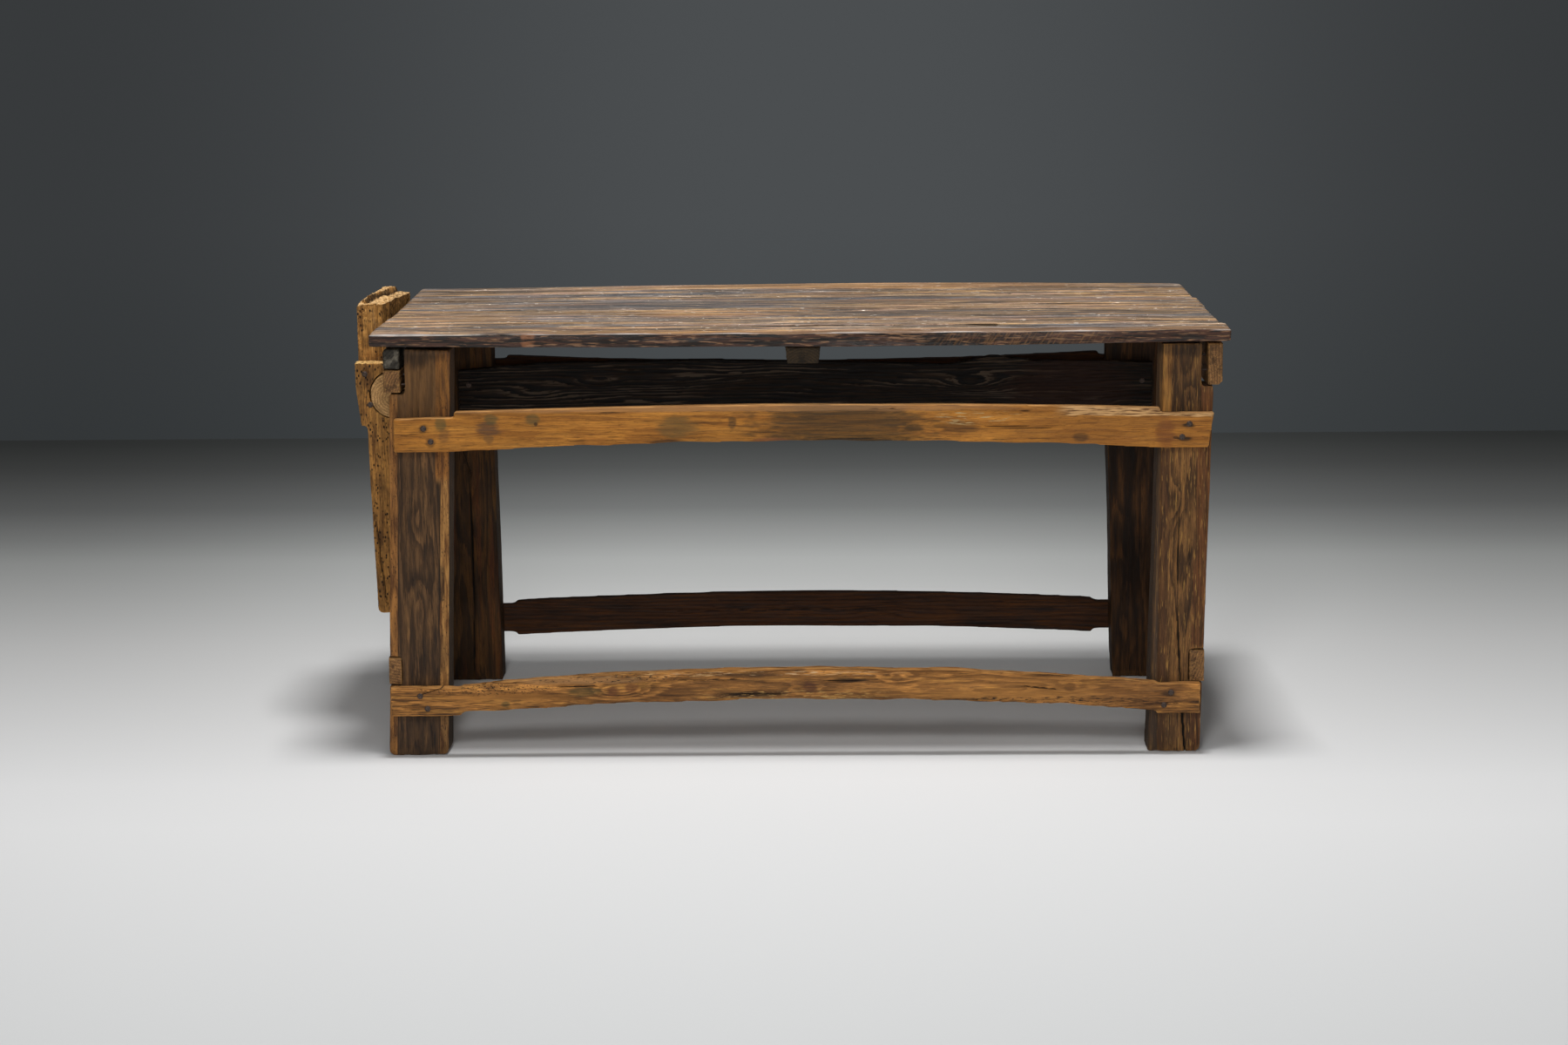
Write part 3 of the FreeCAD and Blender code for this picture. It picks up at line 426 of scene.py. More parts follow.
def timber(name, grain, early, late, rings, fibre=0.0022, fibre_long=0.06, contrast=0.42,
           ring_share=0.6, patches=(), pores=0.4, checks=0.6, grime=0.25, worn=None,
           worn_share=0.6, dust=None, dust_share=0.8, marks=None, rough=(0.55, 0.85), bump=0.45,
           gloss=0.2, seed=1.0, splits=()):
    """Old dry wood: growth rings, fibres, pores, short drying checks, patches,
    worn arrises, dust on what faces up, and dark splits. The bump agrees."""
    material, tree = fresh_material(name)
    spot = in_grain(tree, add(tree, "ShaderNodeTexCoord", out="Object"), grain)
    dark = growth(tree, spot, **rings)
    colour = mixed(tree, add(tree, MATH, dark, ring_share, operation="MULTIPLY"), early, late)
    for i, (code, along, across, start, end, most) in enumerate(patches):
        share = add(tree, RANGE, stretched(tree, spot, along, across, seed + 11 * (i + 1), 4.0,
                                           rough=0.65), start, end, 0.0, most)
        colour = mixed(tree, share, colour, code)
    strand = stretched(tree, spot, fibre_long, fibre, seed + 3, 4.0, rough=0.7)
    colour = times(tree, colour, add(tree, RANGE, strand, 0.33, 0.67), 1 - contrast, 1 + contrast)
    fine = stretched(tree, spot, fibre_long * 0.3, fibre * 0.4, seed + 5, 2.0)
    colour = times(tree, colour, add(tree, RANGE, fine, 0.35, 0.65), 1 - contrast * 0.45,
                   1 + contrast * 0.45)
    slow = stretched(tree, spot, 0.2, 0.025, seed + 4, 3.0, rough=0.6)
    colour = times(tree, colour, add(tree, RANGE, slow, 0.3, 0.7), 1 - grime, 1 + grime)
    pit = add(tree, RANGE, stretched(tree, spot, 0.009, 0.0011, seed + 6, 1.0), 0.62, 0.7)
    colour = times(tree, colour, pit, 1.0, 1 - pores)
    check = add(tree, RANGE, stretched(tree, spot, 0.05, 0.0022, seed + 8, 2.0), 0.64, 0.7)
    colour = times(tree, colour, check, 1.0, 1 - checks)
    if marks:
        colour = marks(tree, spot, colour)
    scuff = add(tree, RANGE, stretched(tree, spot, 0.05, 0.006, seed + 7, 3.0), 0.35, 0.6)
    for tone, most, label, start, end in ((dust, dust_share, "up", 0.5, 0.9),
                                          (worn, worn_share, "worn", 0.0, 1.0)):
        if tone:
            share = add(tree, RANGE, add(tree, "ShaderNodeAttribute", attribute_name=label,
                                         out="Fac"), start, end, 0.0, most)
            colour = mixed(tree, add(tree, MATH, share, scuff, operation="MULTIPLY"), colour, tone)
    gap = add(tree, "ShaderNodeAttribute", attribute_name="deep", out="Fac")
    for i, row in enumerate(splits):
        one = opening(tree, spot, *row[:4], seed=seed + 20 + i, **(row[4] if len(row) > 4 else {}))
        gap = add(tree, MATH, gap, one, operation="MAXIMUM")
    colour = times(tree, colour, gap, 1.0, 0.08)
    relief = add(tree, MATH, strand, 0.7, add(tree, MATH, dark, 0.3, operation="MULTIPLY"),
                 operation="MULTIPLY_ADD")
    relief = add(tree, MATH, pit, -0.3, relief, operation="MULTIPLY_ADD")
    relief = add(tree, MATH, check, -0.6, relief, operation="MULTIPLY_ADD")
    bent = add(tree, "ShaderNodeBump", links={"Strength": bump, "Distance": 0.002,
               "Height": relief})
    matt = add(tree, RANGE, strand, 0.3, 0.7, *rough)
    skin = add(tree, "ShaderNodeBsdfPrincipled", links={
        "Base Color": colour, "Roughness": matt, "Normal": bent, "Specular IOR Level": gloss},
        out="BSDF")
    add(tree, "ShaderNodeOutputMaterial", skin)
    return material


def top_marks(tree, spot, colour):
    """The front edge is nearly black at the left and reddish at the right,
    dented and scraped; its upper arris is painted pale in places, for rubbed wear
    and a painted highlight."""
    brown = stretched(tree, spot, 0.12, 0.008, 8.0, 3.0, rough=0.65)
    edge = mixed(tree, add(tree, RANGE, brown, 0.42, 0.6), "#1a110b", "#482c1e")
    right = add(tree, RANGE, add(tree, "ShaderNodeSeparateXYZ", spot, out="X"), 0.3, 0.6, 0.0, 0.5)
    edge = mixed(tree, right, edge, "#4b2b19")
    patch = blot(tree, spot, (-0.46, None, 0.783), (0.012, None, 0.02), 9.0)
    edge = mixed(tree, patch, edge, "#845637")
    dash = add(tree, RANGE, stretched(tree, spot, 0.03, 0.003, 10.0, 3.0), 0.56, 0.62, 0.0, 0.7)
    edge = mixed(tree, dash, edge, "#8e694a")
    pit = add(tree, RANGE, stretched(tree, spot, 0.05, 0.004, 12.0, 3.0), 0.52, 0.6, 0.0, 0.9)
    edge = mixed(tree, pit, edge, "#0e0905")
    slant = add(tree, "ShaderNodeVectorRotate", spot, links={"Axis": (0, 1, 0), "Angle": 1.0})
    scrape = add(tree, RANGE, stretched(tree, slant, 0.05, 0.004, 13.0, 3.0), 0.5, 0.66, 0.0, 0.6)
    scraped = blot(tree, spot, (0.44, None, 0.782), (0.16, None, 0.03), 14.0)
    edge = mixed(tree, add(tree, MATH, scraped, scrape, operation="MULTIPLY"), edge, "#795531")
    front = reached(tree, spot, (0, -1, 0), 0.3435, 0.0006, 0.0008, 3.0)
    upright = add(tree, RANGE, add(tree, "ShaderNodeAttribute", attribute_name="up", out="Fac"),
                  0.6, 0.3)
    front = add(tree, MATH, front, upright, operation="MULTIPLY")
    colour = painted(tree, spot, colour, (
        ((-0.62, -0.13), (0.14, 0.05), "#a0794d", 0.5, 21.0),
        ((-0.14, -0.11), (0.13, 0.03), "#b0835a", 0.5, 22.0),
        ((-0.3, 0.04), (0.3, 0.05), "#575a5e", 0.5, 23.0),
        ((0.05, 0.1), (0.4, 0.07), "#5c5a5b", 0.4, 24.0),
        ((0.15, 0.33), (0.5, 0.05), "#ab7d50", 0.5, 25.0),
        ((0.54, 0.265), (0.16, 0.03), "#3a3532", 0.6, 26.0),
        ((0.5, 0.1), (0.4, 0.02), "#9c704a", 0.55, 27.0),
        ((0.3, -0.1), (0.35, 0.06), "#4a4746", 0.5, 28.0),
        ((0.3, -0.34), (0.7, 0.03), "#93683f", 0.5, 29.0),
        ((-0.55, -0.3), (0.2, 0.04), "#4d4541", 0.45, 30.0)))
    colour = mixed(tree, front, colour, edge)
    # rubbed wear and painted highlight: a near-white band along the upper front arris, in places
    pale = add(tree, RANGE, stretched(tree, spot, 0.16, 0.03, 6.0, 3.0), 0.42, 0.56, 0.0, 0.9)
    for facing, limit in (((0, -1, 0), 0.3475), ((0, 0, 1), 0.7945)):
        pale = add(tree, MATH, pale, reached(tree, spot, facing, limit, 0.001, 0.0008, 5.0),
                   operation="MULTIPLY")
    return mixed(tree, pale, colour, "#d6ccc4")


def top_shape(spots):
    """The front plank has bent down in the middle of the bench; the ends of
    its underside stand higher, and the back has risen a little."""
    x, y, z = spots.T
    upper = np.clip((z - 0.775) / 0.02, 0, 1)
    sag = 0.0015 + 0.003 * np.exp(-((x - 0.1) / 0.5) ** 2) + 0.0010 * np.sin(x * 31 + 1)
    front = np.clip((-0.265 - y) / 0.085, 0, 1)
    rise = np.clip((y + 0.1) / 0.45, 0, 1) ** 1.5
    rise = rise * (0.0035 + 0.005 * np.clip(1 - ((x - 0.15) / 0.7) ** 2, 0, 1))
    ends = front * (1 - upper) * np.clip(np.abs(x - 0.03) - 0.35, 0, 0.45) * 0.011
    spots[:, 2] = z + upper * (rise - sag * front) + ends
    spots[:, 1] = y + front ** 4 * (1 - upper) * (0.0008 + 0.0010 * np.sin(x * 17 + 2))


joint_splits = ((-0.34, -0.07, -0.0165, 0.0054, {"slope": -0.03, "wander": 0.001}),
                (0.03, 0.20, -0.0415, 0.0042, {"slope": -0.06, "wander": 0.001}),
                (-0.10, 0.21, -0.2705, 0.0060, {"wander": 0.001}),
                (0.13, 0.42, -0.276, 0.0042, {"wander": 0.001}),
                (0.26, 0.55, -0.268, 0.0055, {"slope": 0.03, "wander": 0.001}),
                (0.48, 0.67, -0.2615, 0.0050, {"wander": 0.001}),
                (0.75, 0.835, 0.103, 0.0044, {"slope": -0.1}), (0.78, 0.835, -0.24, 0.0042),
                (0.445, 0.47, 0.3275, 0.003), (-0.58, -0.555, 0.338, 0.005),
                (-0.7, -0.4, 0.09, 0.0022), (-0.55, -0.1, 0.2, 0.0022), (0.2, 0.7, 0.18, 0.0025),
                (-0.25, 0.25, -0.12, 0.0022), (0.35, 0.8, -0.15, 0.0025),
                (-0.66, -0.34, -0.222, 0.0022, {"slope": -0.05}))
top_rings = dict(pith=(0.05, 0.55), ring=0.012, warp=0.03, reach=0.9, seed=2.0)
top_patches = (("#c19157", 0.6, 0.02, 0.48, 0.6, 0.75), ("#413934", 0.6, 0.018, 0.49, 0.6, 0.8),
               ("#73767b", 0.9, 0.05, 0.5, 0.6, 0.7), ("#c2977c", 0.35, 0.012, 0.52, 0.62, 0.6),
               ("#edbf81", 0.22, 0.010, 0.555, 0.64, 0.65), ("#251e1b", 0.35, 0.008, 0.55, 0.62, 0.85),
               ("#fcefdd", 0.02, 0.006, 0.635, 0.67, 0.8))
weathered_top = timber("weathered_hardwood_planks", "xyz", "#a58f79", "#625348", top_rings,
                       fibre=0.007, fibre_long=0.25, contrast=0.7, ring_share=0.7,
                       patches=top_patches, pores=0.45, checks=0.7, grime=0.2, worn="#6f6055",
                       worn_share=0.2, marks=top_marks, rough=(0.4, 0.75), bump=0.7, gloss=0.35,
                       seed=3.0, splits=joint_splits)
for number, plank in enumerate(("top_plank_front", "top_plank_mid_front", "top_plank_mid_back",
                                "top_plank_back")):
    ageing = aged(plank, "xyz", top_rings, joint_splits, ridge=0.0006, thread=0.0045,
                  hollow=0.0012, hollow_along=0.5, hollow_across=0.02, wear=0.55, chips=0.02,
                  split_depth=0.005, seed=3.0 + number)
    hewn(plank, "xyz", weathered_top, ageing, grit=0.0022, stretch=3.0,
         shape=top_shape)


# ---------------------------------------------------------- the middle batten
# One short length of grey-brown wood across the underside of the planks,
# narrower below, its front end sawn and showing the end grain.
batten_rings = dict(pith=(0.04, 0.72), ring=0.005, warp=0.004, seed=5.0)
batten_wood = timber("grey_batten_wood", "yxz", "#382b1a", "#20180d", batten_rings,
                     patches=(("#140e07", 0.1, 0.02, 0.5, 0.7, 0.7),), seed=6.0)
hewn("centre_batten", "yxz", batten_wood,
     aged("centre_batten", "yxz", batten_rings, wear=0.8, seed=7.0))


# ------------------------------------------------------------- the front legs
# Two squared posts hewn from small trunks: dark heartwood with figure, and
# strips of pale sapwood left at the arrises. The right one has split.
def left_leg_marks(tree, spot, colour):
    """Sapwood at both arrises, its boundary wavy and dark, the right one
    wider above; the faces behind the front face are painted darker as painted
    shade, and a black band just under the top is painted shadow."""
    lean = 0.0311
    right = reached(tree, spot, (-lean, 1, 0), -0.6455, 0.0045, 0.0008, 3.0, reach=0.11)
    wide = reached(tree, spot, (-lean, 1, 0), -0.656, 0.003, 0.0008, 4.0, reach=0.14)
    high = reached(tree, spot, (1, 0, 0), 0.525, 0.004, 0.012, 5.0)
    right = add(tree, MATH, right, add(tree, MATH, wide, high, operation="MULTIPLY"),
                operation="MAXIMUM")
    left = reached(tree, spot, (lean, -1, 0), 0.7255, 0.003, 0.0012, 6.0, reach=0.16)
    flow = add(tree, RANGE, stretched(tree, spot, 0.06, 0.006, 4.0, 4.0, rough=0.65), 0.38, 0.62)
    gold = mixed(tree, flow, "#5f3b1c", "#a87a44")
    gold = mixed(tree, high, gold, mixed(tree, flow, "#4f3019", "#93602b"))
    colour = mixed(tree, right, colour, gold)
    colour = mixed(tree, left, colour, mixed(tree, flow, "#55351b", "#9c6a36"))
    for mask, facing, limit, wobble, seed, reach in (
            (right, (-lean, 1, 0), -0.6470, 0.0045, 3.0, 0.11),
            (left, (lean, -1, 0), 0.7238, 0.003, 6.0, 0.16)):
        rim = reached(tree, spot, facing, limit, wobble, 0.0012, seed, reach=reach)
        line = add(tree, MATH, rim, add(tree, MATH, 0.75, mask, operation="SUBTRACT"),
                   operation="MULTIPLY", use_clamp=True)
        colour = mixed(tree, line, colour, "#22150c")
    # painted shade: the faces behind the front face are darkened
    inner = reached(tree, spot, (0, 0, 1), -0.3225, 0.0008, 0.0012, 7.0)
    colour = mixed(tree, add(tree, MATH, inner, 0.85, operation="MULTIPLY"), colour, "#3a3128")
    strips = add(tree, MATH, right, left, operation="MAXIMUM")
    speck = add(tree, RANGE, stretched(tree, spot, 0.006, 0.002, 12.0, 2.0), 0.6, 0.68, 0.0, 0.8)
    colour = mixed(tree, add(tree, MATH, strips, speck, operation="MULTIPLY"), colour, "#2a190d")
    return painted(tree, spot, colour, (
        ((0.70, -0.66), (0.07, 0.06), "#6d4c27", 0.5, 11.0),
        ((0.2, -0.655), (0.05, 0.03), "#1a1410", 0.5, 4.0),
        # painted shadow: the black band on the head just under the top
        ((0.765, -0.67), (0.03, 0.06), "#0f0b08", 0.75, 8.0),
        ((0.33, -0.634), (0.035, 0.006), "#171310", 0.8, 9.0),
        ((0.04, -0.66), (0.07, 0.07), "#1a1512", 0.6, 10.0)))


def right_leg_marks(tree, spot, colour):
    """A golden strip at the left of its head, reddish strips lower down, and
    light fibres over a dark ground. The faces behind the front face are painted
    darker as painted shade, and a black band just under the top is painted shadow."""
    sap = reached(tree, spot, (0.004, -1, 0), -0.7095, 0.0025, 0.001, 3.0, reach=0.2)
    high = reached(tree, spot, (1, 0, 0), 0.575, 0.002, 0.004, 5.0)
    flow = add(tree, RANGE, stretched(tree, spot, 0.07, 0.005, 4.0, 4.0, rough=0.65), 0.38, 0.62)
    both = add(tree, MATH, sap, high, operation="MULTIPLY")
    colour = mixed(tree, both, colour, mixed(tree, flow, "#5a3a1c", "#a8763a"))
    low = add(tree, MATH, sap, add(tree, MATH, 0.7, high, operation="SUBTRACT"),
              operation="MULTIPLY", use_clamp=True)
    colour = mixed(tree, low, colour, mixed(tree, flow, "#2d1c12", "#5a3a20"))
    right = reached(tree, spot, (-0.02, 1, 0), 0.752, 0.007, 0.003, 8.0)
    colour = mixed(tree, add(tree, MATH, right, 0.8, operation="MULTIPLY"), colour,
                   mixed(tree, flow, "#35200f", "#6a4022"))
    hair = add(tree, RANGE, stretched(tree, spot, 0.03, 0.0022, 9.0, 3.0), 0.6, 0.67, 0.0, 0.75)
    colour = mixed(tree, hair, colour, "#a0783c")
    # painted shade: the faces behind the front face are darkened
    inner = reached(tree, spot, (0, 0, 1), -0.3225, 0.0008, 0.0012, 7.0)
    colour = mixed(tree, add(tree, MATH, inner, 0.6, operation="MULTIPLY"), colour, "#3a3128")
    return painted(tree, spot, colour, (
        # painted shadow: the black band on the head just under the top
        ((0.765, 0.73), (0.022, 0.06), "#0f0b08", 0.75, 8.0),
        ((0.70, 0.74), (0.08, 0.03), "#2a1d12", 0.35, 7.0),
        ((0.62, 0.735), (0.03, 0.02), "#20160e", 0.6, 6.0),
        ((0.07, 0.72), (0.06, 0.05), "#1c1612", 0.4, 10.0)))


def left_leg_shape(spots):
    """The upper end slopes where the top's underside rests on it."""
    x, y, z = spots.T
    spots[:, 2] = z - np.clip((z - 0.69) / 0.08, 0, 1) * 0.004 * np.clip((x + 0.70) / 0.09, 0, 1)


def right_leg_shape(spots):
    """The inner arris of the upper part is hewn to a wide round."""
    x, y, z = spots.T
    near = np.clip((0.702 - x) / 0.012, 0, 1) ** 2 * np.clip((-0.313 - y) / 0.012, 0, 1) ** 2
    spots[:, 0] = x + near * 0.004
    spots[:, 1] = y + near * 0.004


left_rings = dict(pith=(-0.672, -0.235), ring=0.006, warp=0.014, reach=0.3, seed=3.0,
                  slope=(-0.03, 0.0), knots=((0.447, -0.678, 0.013, 0.010),
                                             (0.28, -0.672, 0.016, 0.008)))
left_leg_wood = timber("figured_heartwood_left", "zxy", "#5e4329", "#271b12", left_rings,
                       fibre=0.0024, contrast=0.4, ring_share=0.75,
                       patches=(("#231911", 0.2, 0.025, 0.5, 0.66, 0.75),
                                ("#795734", 0.12, 0.008, 0.55, 0.68, 0.7)),
                       marks=left_leg_marks, worn="#896643", worn_share=0.3, seed=5.0)
hewn("front_left_leg", "zxy", left_leg_wood,
     aged("front_left_leg", "zxy", left_rings, ridge=0.0004, hollow=0.002, wear=0.9, chips=0.03,
          blur=2, seed=6.0), shape=left_leg_shape)

right_splits = ((0.27, 0.50, 0.7298, 0.0011, {"slope": 0.005, "wander": 0.0015}),
                (0.12, 0.28, 0.7332, 0.0016, {"slope": -0.06, "wander": 0.001}),
                (-0.02, 0.14, 0.7424, 0.0022, {"slope": -0.078, "wander": 0.0008}))
right_rings = dict(pith=(0.735, -0.22), ring=0.0058, warp=0.014, reach=0.3, seed=9.0,
                   slope=(0.02, 0.0), knots=((0.4786, 0.7235, 0.011, 0.012),
                                             (0.66, 0.745, 0.012, 0.01)))
right_leg_wood = timber("figured_heartwood_right", "zxy", "#75512c", "#301f12", right_rings,
                        fibre=0.0024, contrast=0.4, ring_share=0.8,
                        patches=(("#2d1e12", 0.2, 0.025, 0.5, 0.66, 0.7),
                                 ("#906636", 0.12, 0.008, 0.55, 0.68, 0.7)),
                        marks=right_leg_marks, worn="#a57845", worn_share=0.35, seed=8.0,
                        splits=right_splits)
hewn("front_right_leg", "zxy", right_leg_wood,
     aged("front_right_leg", "zxy", right_rings, right_splits, ridge=0.0004, hollow=0.0018,
          wear=0.9, chips=0.03, blur=2, split_depth=0.009, seed=9.0),
     grit=0.002, shape=right_leg_shape)


# -------------------------------------------------------------- the back legs
# The same kind of post, darker and duller, since they stand in the shade and
# were never cleaned. The left one is split from its foot to its head.
back_left_splits = ((0.425, 0.56, -0.662, 0.0014, {"slope": -0.31, "wander": 0.001}),
                    (0.13, 0.43, -0.6450, 0.0019, {"slope": -0.01, "wander": 0.002}),
                    (0.0, 0.15, -0.6465, 0.0013, {"slope": 0.03, "wander": 0.002}))
back_rings = dict(pith=(-0.66, 0.42), ring=0.0065, warp=0.016, reach=0.3, seed=13.0,
                  knots=((0.43, -0.652, 0.016, 0.008), (0.24, -0.686, 0.014, 0.01)))
back_left_wood = timber("dull_heartwood_left", "zxy", "#492f12", "#1e1307", back_rings,
                        fibre=0.0024, contrast=0.4, ring_share=0.75,
                        patches=(("#180d04", 0.2, 0.03, 0.5, 0.66, 0.7),
                                 ("#53290d", 0.3, 0.02, 0.55, 0.7, 0.6)), seed=12.0,
                        splits=back_left_splits)
hewn("back_left_leg", "zxy", back_left_wood,
     aged("back_left_leg", "zxy", back_rings, back_left_splits, ridge=0.0005, hollow=0.002,
          wear=0.9, blur=2, split_depth=0.009, seed=13.0))

right_back_rings = dict(pith=(0.70, 0.43), ring=0.0065, warp=0.016, reach=0.3, seed=17.0,
                        knots=((0.3, 0.68, 0.016, 0.008),))
back_right_wood = timber("dull_heartwood_right", "zxy", "#4a2e13", "#211306", right_back_rings,
                         fibre=0.0024, contrast=0.4, ring_share=0.75,
                         patches=(("#110803", 0.3, 0.035, 0.46, 0.58, 0.85),), worn="#694621",
                         worn_share=0.5, seed=16.0)
hewn("back_right_leg", "zxy", back_right_wood,
     aged("back_right_leg", "zxy", right_back_rings, ridge=0.0005, hollow=0.003, wear=0.95,
          chips=0.04, blur=2, seed=17.0))


# --------------------------------------------------------------- the end rails
# Squared lengths let into the outer corners of the legs, front to back, their
# sawn ends showing in front. The cap under the top's left end has gone black.
end_rings = dict(pith=(0.66, -0.60), ring=0.005, warp=0.006, seed=21.0)
end_wood = timber("brown_end_rails", "yzx", "#86603a", "#442e1b", end_rings,
                  patches=(("#312115", 0.03, 0.016, 0.5, 0.66, 0.75),
                           ("#a47b47", 0.02, 0.008, 0.56, 0.7, 0.7)),
                  worn="#ab8350", worn_share=0.5, seed=22.0)
for number, node in enumerate(("left_upper_end_rail", "right_upper_end_rail",
                               "left_lower_end_rail", "right_lower_end_rail")):
    hewn(node, "yzx", end_wood, aged(node, "yzx", end_rings, ridge=0.0004, hollow=0.001,
                                     wear=0.9, chips=0.03, seed=22.0 + number))


def cap_marks(tree, spot, colour):
    scuff = add(tree, RANGE, stretched(tree, spot, 0.03, 0.022, 33.0, 5.0, rough=0.7), 0.5, 0.66)
    return mixed(tree, add(tree, MATH, scuff, 0.4, operation="MULTIPLY"), colour, "#948b7a")


cap_rings = dict(pith=(0.7, -0.66), ring=0.006, warp=0.004, seed=25.0)
cap_wood = timber("blackened_cap", "yzx", "#2f2a22", "#16140f", cap_rings, contrast=0.35,
                  marks=cap_marks, seed=26.0, rough=(0.4, 0.65))
hewn("left_upper_end_rail_cap", "yzx", cap_wood,
     aged("left_upper_end_rail_cap", "yzx", cap_rings, ridge=0.0004, hollow=0.001, wear=1.0,
          chips=0.05, seed=27.0))


# -------------------------------------------------------------- the front rails
# Two bowed boards of honey-coloured pine-like wood, lapped on the legs and
# nailed. The upper one is stained, dented and split; the lower one wormy.
def upper_rail_marks(tree, spot, colour):
    """Grey-green and purplish stains by old fixings, a long smoky stretch in
    the middle, scraps of whitewash, and a torn pale ledge at the right."""
    colour = painted(tree, spot, colour, (
        ((0.115, 0.622), (0.15, 0.06), "#3f301c", 0.92, 6.0),
        ((0.63, 0.62), (0.2, 0.06), "#7d4f24", 0.35, 16.0),
        ((-0.623, 0.634), (0.010, 0.014), "#514a2a", 0.75, 2.0),
        ((-0.618, 0.61), (0.010, 0.014), "#5b4026", 0.6, 2.5),
        ((-0.537, 0.622), (0.022, 0.012), "#4e382a", 0.8, 3.0),
        ((-0.531, 0.640), (0.012, 0.009), "#4d482b", 0.8, 3.5),
        ((-0.536, 0.603), (0.009, 0.008), "#5a4228", 0.7, 3.7),
        ((-0.456, 0.638), (0.012, 0.011), "#4f472a", 0.75, 4.0),
        ((-0.449, 0.630), (0.0035, 0.0035), "#2b2015", 0.9, 4.5),
        ((-0.19, 0.625), (0.034, 0.02), "#5a4a2a", 0.7, 5.0),
        ((-0.09, 0.63), (0.007, 0.012), "#3c3020", 0.75, 5.5),
        ((-0.214, 0.5965), (0.03, 0.004), "#2c1e12", 0.85, 7.0),
        ((0.115, 0.5965), (0.10, 0.005), "#17110b", 0.9, 8.0),
        ((-0.02, 0.598), (0.035, 0.005), "#72422c", 0.7, 9.0),
        ((0.32, 0.62), (0.035, 0.012), "#3f2a18", 0.75, 10.0),
        ((0.545, 0.6), (0.014, 0.007), "#2f2219", 0.75, 11.0),
        ((0.70, 0.607), (0.016, 0.028), "#6d3d20", 0.6, 12.0),
        ((0.742, 0.6205), (0.011, 0.004), "#15110e", 0.9, 13.0),
        ((0.735, 0.595), (0.013, 0.004), "#15110e", 0.9, 14.0),
        ((0.7191, 0.5988), (0.006, 0.003), "#15110e", 0.9, 15.0)))
    for row in ((-0.6555, 0.6215), (-0.6425, 0.5975)):
        halo = blot(tree, spot, (*row, None), (0.009, 0.008, None), 17.0)
        colour = mixed(tree, add(tree, MATH, halo, 0.6, operation="MULTIPLY"), colour, "#3f2a17")
    colour = flecked(tree, spot, colour, (
        ((0.35, 0.638), (0.07, 0.012), "#b0996c", 19.0, (0.03, 0.0022)),))
    ledge = reached(tree, spot, (0.018, 1, 0), 0.6505, 0.0028, 0.0008, 22.0, reach=0.03)
    place = reached(tree, spot, (1, 0, 0), 0.51, 0.01, 0.02, 23.0)
    ledge = add(tree, MATH, ledge, place, operation="MULTIPLY")
    torn = mixed(tree, add(tree, RANGE, stretched(tree, spot, 0.03, 0.002, 24.0, 3.0), 0.45, 0.6),
                 "#c69a66", "#5d3c20")
    colour = mixed(tree, ledge, colour, torn)
    # painted highlight: a pale band along the top face and upper arris, at the left
    pale = reached(tree, spot, (0, 1, 0), 0.652, 0.0025, 0.003, 25.0, reach=0.06)
    pale = add(tree, MATH, pale, add(tree, RANGE, add(tree, "ShaderNodeSeparateXYZ", spot,
               out="X"), 0.5, 0.3, 0.0, 0.45), operation="MULTIPLY")
    return mixed(tree, pale, colour, "#b08358")


